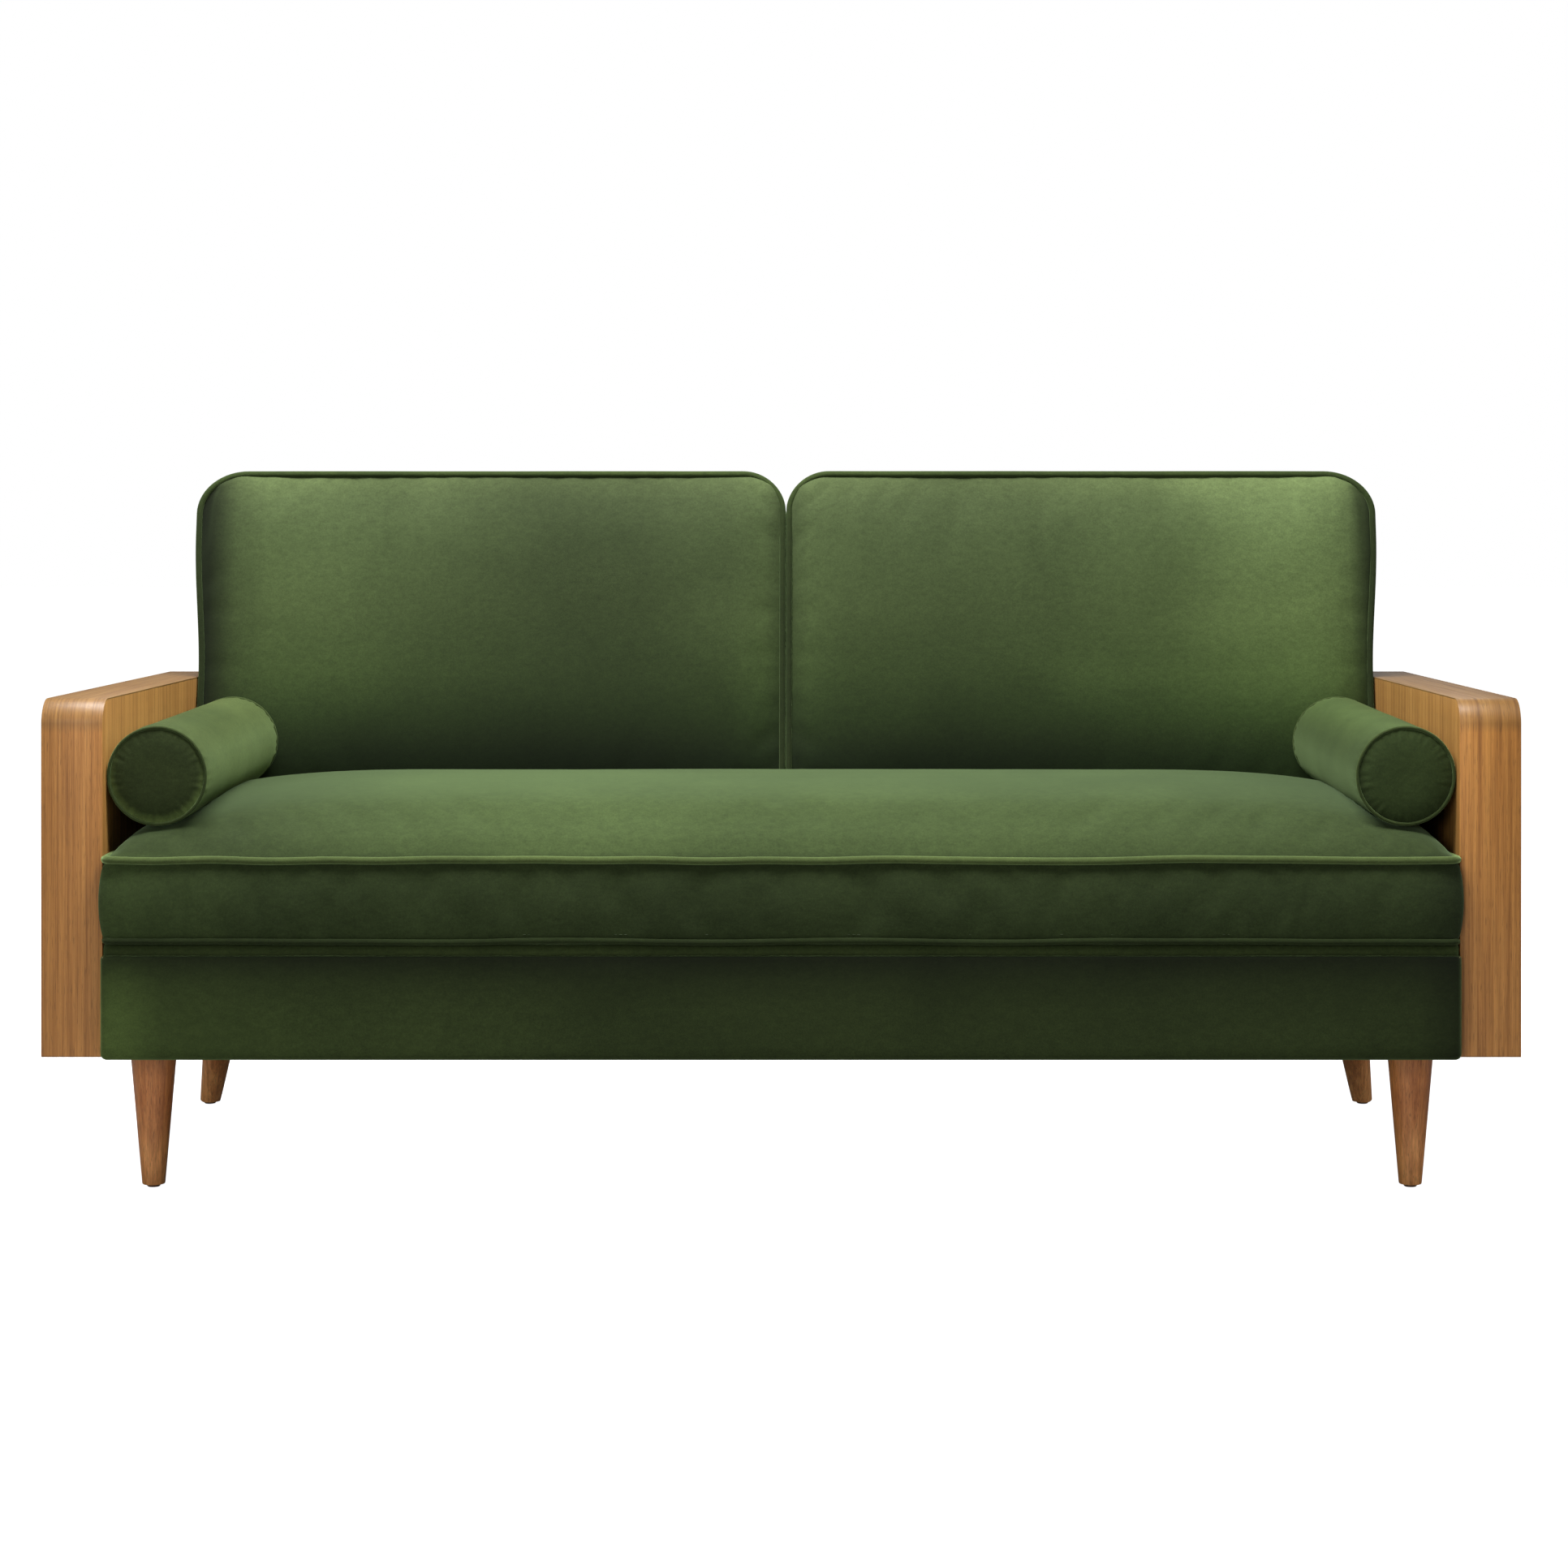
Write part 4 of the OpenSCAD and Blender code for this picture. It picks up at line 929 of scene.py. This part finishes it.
def base_cover():
    """Padded velvet round the box: soft upper and lower edges, turned in above and below."""
    z0, z1 = BOX_LOW.z, BOX_HIGH.z + 1.5 * MM
    r, top_r = 7 * MM, 4.4 * MM
    turn_in, top_turn_in, skin = 28 * MM, 9 * MM, 2.6 * MM
    outline = [(-top_turn_in, z1)]
    for k in range(7):
        a = math.radians(90 - 90 * k / 6)
        outline.append((-top_r + top_r * math.cos(a), z1 - top_r + top_r * math.sin(a)))
    levels = 12
    for k in range(1, levels):
        outline.append((0.0, z1 - top_r - (z1 - z0 - r - top_r) * k / levels))
    for k in range(7):
        a = math.radians(-90 * k / 6)
        outline.append((-r + r * math.cos(a), z0 + r + r * math.sin(a)))
    outline += [(-turn_in, z0), (-turn_in, z0 + skin), (-skin - r, z0 + skin)]
    outline += [(-skin, z0 + skin + r), (-skin, z1 - 2 * MM), (-skin - MM, z1 - MM), (-top_turn_in, z1 - MM)]
    obj = sweep_ring("box_velvet", outline, ring_path(BOX_LOW, BOX_HIGH, 9 * MM), BOX_VELVET)
    points = coordinates(obj.data)
    soft = ease((points[:, 2] - z0) / (20 * MM)) * ease((z1 - points[:, 2]) / (20 * MM))
    front = ease((BOX_LOW.y + 6 * MM - points[:, 1]) / (6 * MM))
    points[:, 1] -= front * soft * 0.8 * MM * (1 + bumps(points, 0.3, 51))
    set_coordinates(obj.data, points)
    finish_piece(obj, "base", "velvet", "base_cover")


def seat_lip():
    """The rolled cloth between the cushion and the box, gathered a little along its length."""
    z0, z1 = RAIL_LOW.z, RAIL_HIGH.z
    r = (z1 - z0) / 2 - 0.3 * MM
    y = RAIL_LOW.y
    steps, arc = 320, 10
    half = SEAT_HALF.x - 2 * MM
    points, faces = [], []
    row = arc + 3
    for i in range(steps + 1):
        x = -half + 2 * half * i / steps
        for k in range(arc + 1):
            a = math.radians(90 + 180 * k / arc)
            points.append((x, y - 0.6 * MM + 0.95 * r * math.cos(a), (z0 + z1) / 2 + r * math.sin(a)))
        points.append((x, y + 4 * MM, z0 + 0.4 * MM))
        points.append((x, y + 4 * MM, z1 - 0.4 * MM))
    for i in range(steps):
        for k in range(row):
            m = (k + 1) % row
            faces.append([i * row + k, i * row + m, (i + 1) * row + m, (i + 1) * row + k])
    faces.append(list(range(row)))
    faces.append(list(range(steps * row, (steps + 1) * row)))
    obj = new_object("seat_lip_roll", points, faces, VELVET)
    places = coordinates(obj.data)
    round_part = places[:, 1] < y
    gather = bumps(places * (1, 0, 0), 0.05, 61) * 0.5 + bumps(places * (1, 0, 0), 0.2, 62)
    places[:, 1] -= round_part * 0.5 * MM * gather
    places[:, 2] += round_part * 0.35 * MM * bumps(places * (1, 0, 0), 0.12, 63)
    set_coordinates(obj.data, places)
    finish_piece(obj, "base", "velvet", "seat_lip_cover")


# ---------- arms and legs ----------

def arm_outline(inset):
    """Side outline of an arm with its bent front edge, drawn in by an inset."""
    r = 30 * MM - inset
    y0, y1 = ARM_LOW.y + inset, HIGH.y - inset
    z0, z1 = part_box("arm_right_edge_strips")[0].z + inset, ARM_HIGH.z - inset
    outline = [(y1, z0), (y1, z1)]
    for k in range(17):
        a = math.radians(90 + 90 * k / 16)
        outline.append((y0 + r + r * math.cos(a), z1 - r + r * math.sin(a)))
    outline.append((y0, z0))
    return outline


def arm(name, side):
    """An arm: two veneered sides, the bent veneer over front and top, and strips behind and below."""
    inner, outer = side * ARM_LOW.x, side * ARM_HIGH.x
    panel = 12 * MM * side
    veneer = 1.5 * MM
    body = arm_outline(veneer)
    for label, x0, x1 in (("inner", inner, inner + panel), ("outer", outer - panel, outer)):
        obj = prism(f"arm_{name}_{label}_side", body, x0, x1, OAK_SIDE, 0.3 * MM)
        finish_piece(obj, "base", "oak", f"arm_{name}_{label}_panel")
    outside, inside = arm_outline(0), body
    sheet = outside[1:-1] + [outside[-1]] + [(inside[-1][0], outside[-1][1])] + list(reversed(inside[1:-1]))
    sheet[0] = (outside[1][0] - veneer, outside[1][1])
    finish_piece(prism(f"arm_{name}_bent_veneer", sheet, inner, outer, OAK_WRAP, 0.5 * MM), "base", "oak",
                 f"arm_{name}_veneer_wrap")
    y1, z0, z1 = outside[0][0], outside[0][1], outside[1][1]
    rear = [(y1 - veneer, z0 + veneer), (y1, z0 + veneer), (y1, z1), (y1 - veneer, z1)]
    under = [(ARM_LOW.y, z0), (y1, z0), (y1, z0 + veneer), (ARM_LOW.y, z0 + veneer)]
    strips = [prism(f"arm_{name}_{label}", o, inner, outer, OAK_STRIP, 0.4 * MM)
              for label, o in (("rear", rear), ("under", under))]
    finish_piece(join(f"arm_{name}_strips", strips), "base", "oak", f"arm_{name}_edge_strips")


def leg(row, name, side):
    """A turned, tapered leg with a broken lower edge."""
    low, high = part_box(f"leg_{row}_right")
    top_r, foot_r = 28.5 * MM, 13.5 * MM
    if row == "front":
        top = Vector(((low.x + high.x) / 2, (low.y + high.y) / 2, high.z))
        foot = Vector((top.x, top.y, 0))
    else:
        top = Vector((low.x + top_r, low.y + top_r, high.z))
        foot = Vector((high.x - foot_r, high.y - foot_r, 0))
    top.x, foot.x = side * top.x, side * foot.x
    direction = (top - foot).normalized()
    reach = (top - foot).length
    matrix = Matrix.Translation(foot) @ direction.to_track_quat("Z", "Y").to_matrix().to_4x4()
    start, chamfer, above = 1.5 * MM, 2 * MM, 7 * MM if row == "rear" else 1 * MM
    taper = (top_r - foot_r) / reach

    def radius(h):
        return foot_r + taper * h

    end_r = radius(start)
    edge = start + chamfer
    profile = [(0.0, start), (end_r - chamfer - 0.5 * MM, start), (end_r - chamfer, start + 0.2 * MM),
               (end_r - 0.4 * MM, edge), (radius(edge), edge + 0.7 * MM)]
    for k in range(1, 13):
        h = edge + (reach + above - edge) * k / 12
        profile.append((radius(h), h))
    profile.append((0.0, reach + above))
    obj = lathe(f"leg_{row}_{name}_turned", profile, matrix, LEG_WOOD, 72)
    points = coordinates(obj.data)
    points[:, 2] = np.maximum(points[:, 2], low.z + 0.2 * MM)
    set_coordinates(obj.data, points)
    obj.data.set_sharp_from_angle(angle=math.radians(32))
    finish_piece(obj, "base", "leg_wood", f"leg_{row}_{name}")


# ---------- the room ----------

def seen_and_lit(tree, seen, lit):
    """A shader that the camera sees as one closure while it lights the object as another."""
    path = tree.nodes.new("ShaderNodeLightPath")
    mix = tree.nodes.new("ShaderNodeMixShader")
    tree.links.new(path.outputs["Is Camera Ray"], mix.inputs[0])
    tree.links.new(lit.outputs[0], mix.inputs[1])
    tree.links.new(seen.outputs[0], mix.inputs[2])
    return mix.outputs[0]


def floor():
    """A large pale floor that fades into the white surround."""
    n = Nodes("pale floor")
    n.colour(n.ramp(n.noise(n.place, 3.0, 2.0), [(0.3, 0.86), (0.7, 0.88)]))
    n.set(Roughness=0.9)
    n.shader.inputs["Emission Color"].default_value = (1, 1, 1, 1)
    n.shader.inputs["Emission Strength"].default_value = 0.985
    bounce = n.add("ShaderNodeBsdfDiffuse")
    bounce.inputs["Color"].default_value = (0.36, 0.36, 0.36, 1)
    out = n.tree.nodes["Material Output"]
    n.link(seen_and_lit(n.tree, n.shader, bounce), out.inputs["Surface"])
    size = 40
    corners = [(-size, -size, 0), (size, -size, 0), (size, size, 0), (-size, size, 0)]
    new_object("floor", corners, [[0, 1, 2, 3]], n.material, smooth=False)


def surround():
    """White all round to the camera, and a weak even light on the object."""
    world = bpy.data.worlds.new("studio")
    bpy.context.scene.world = world
    world.use_nodes = True
    tree = world.node_tree
    tree.nodes.clear()
    seen, lit = (tree.nodes.new("ShaderNodeBackground") for _ in range(2))
    seen.inputs["Color"].default_value = (1, 1, 1, 1)
    lit.inputs["Color"].default_value = (0.97, 0.99, 1, 1)
    lit.inputs["Strength"].default_value = 0.1
    out = tree.nodes.new("ShaderNodeOutputWorld")
    tree.links.new(seen_and_lit(tree, seen, lit), out.inputs["Surface"])


def light(name, place, aim, size, power):
    """A soft rectangular light."""
    data = bpy.data.lights.new(name, "AREA")
    data.shape = "RECTANGLE"
    data.size, data.size_y = size
    data.energy = power
    lamp = bpy.data.objects.new(name, data)
    lamp.location = place
    lamp.rotation_euler = (Vector(aim) - Vector(place)).to_track_quat("-Z", "Y").to_euler()
    bpy.context.scene.collection.objects.link(lamp)


def stage():
    """A plain white studio: a soft light high in front, weaker ones low in front, beside and behind."""
    floor()
    surround()
    light("overhead", (-0.3, -0.6, 2.3), (0.0, -0.05, 0.5), (2.0, 0.6), 112)
    light("front", (-1.3, -4.2, 1.2), (0, 0, 0.3), (2.2, 1.2), 40)
    light("rear", (0.2, 3.0, 2.4), (0, 0.2, 0.5), (3.0, 1.0), 26)
    light("left", (-2.7, -0.7, 1.9), (-0.3, 0.1, 0.6), (1.2, 1.0), 8)
    light("right", (2.7, -0.7, 1.9), (0.3, 0.1, 0.6), (1.2, 1.0), 14)


def camera():
    """A level view from the front, a little right of the middle, framed low by lens shift."""
    data = bpy.data.cameras.new("camera")
    data.sensor_width = 36
    data.lens = 71.45
    data.shift_x = -0.0202
    data.shift_y = -0.161
    eye = bpy.data.objects.new("camera", data)
    eye.location = (0.041, LOW.y - 3.68, 0.797)
    eye.rotation_euler = (math.pi / 2, 0, 0)
    bpy.context.scene.collection.objects.link(eye)
    bpy.context.scene.camera = eye
    bpy.context.scene.view_settings.view_transform = "Standard"


dress_frame()
seat()
for side_name, side_sign in SIDES:
    back(side_name, side_sign)
    bolster(side_name, side_sign)
    arm(side_name, side_sign)
    for leg_row in ("front", "rear"):
        leg(leg_row, side_name, side_sign)
base_cover()
seat_lip()
stage()
camera()
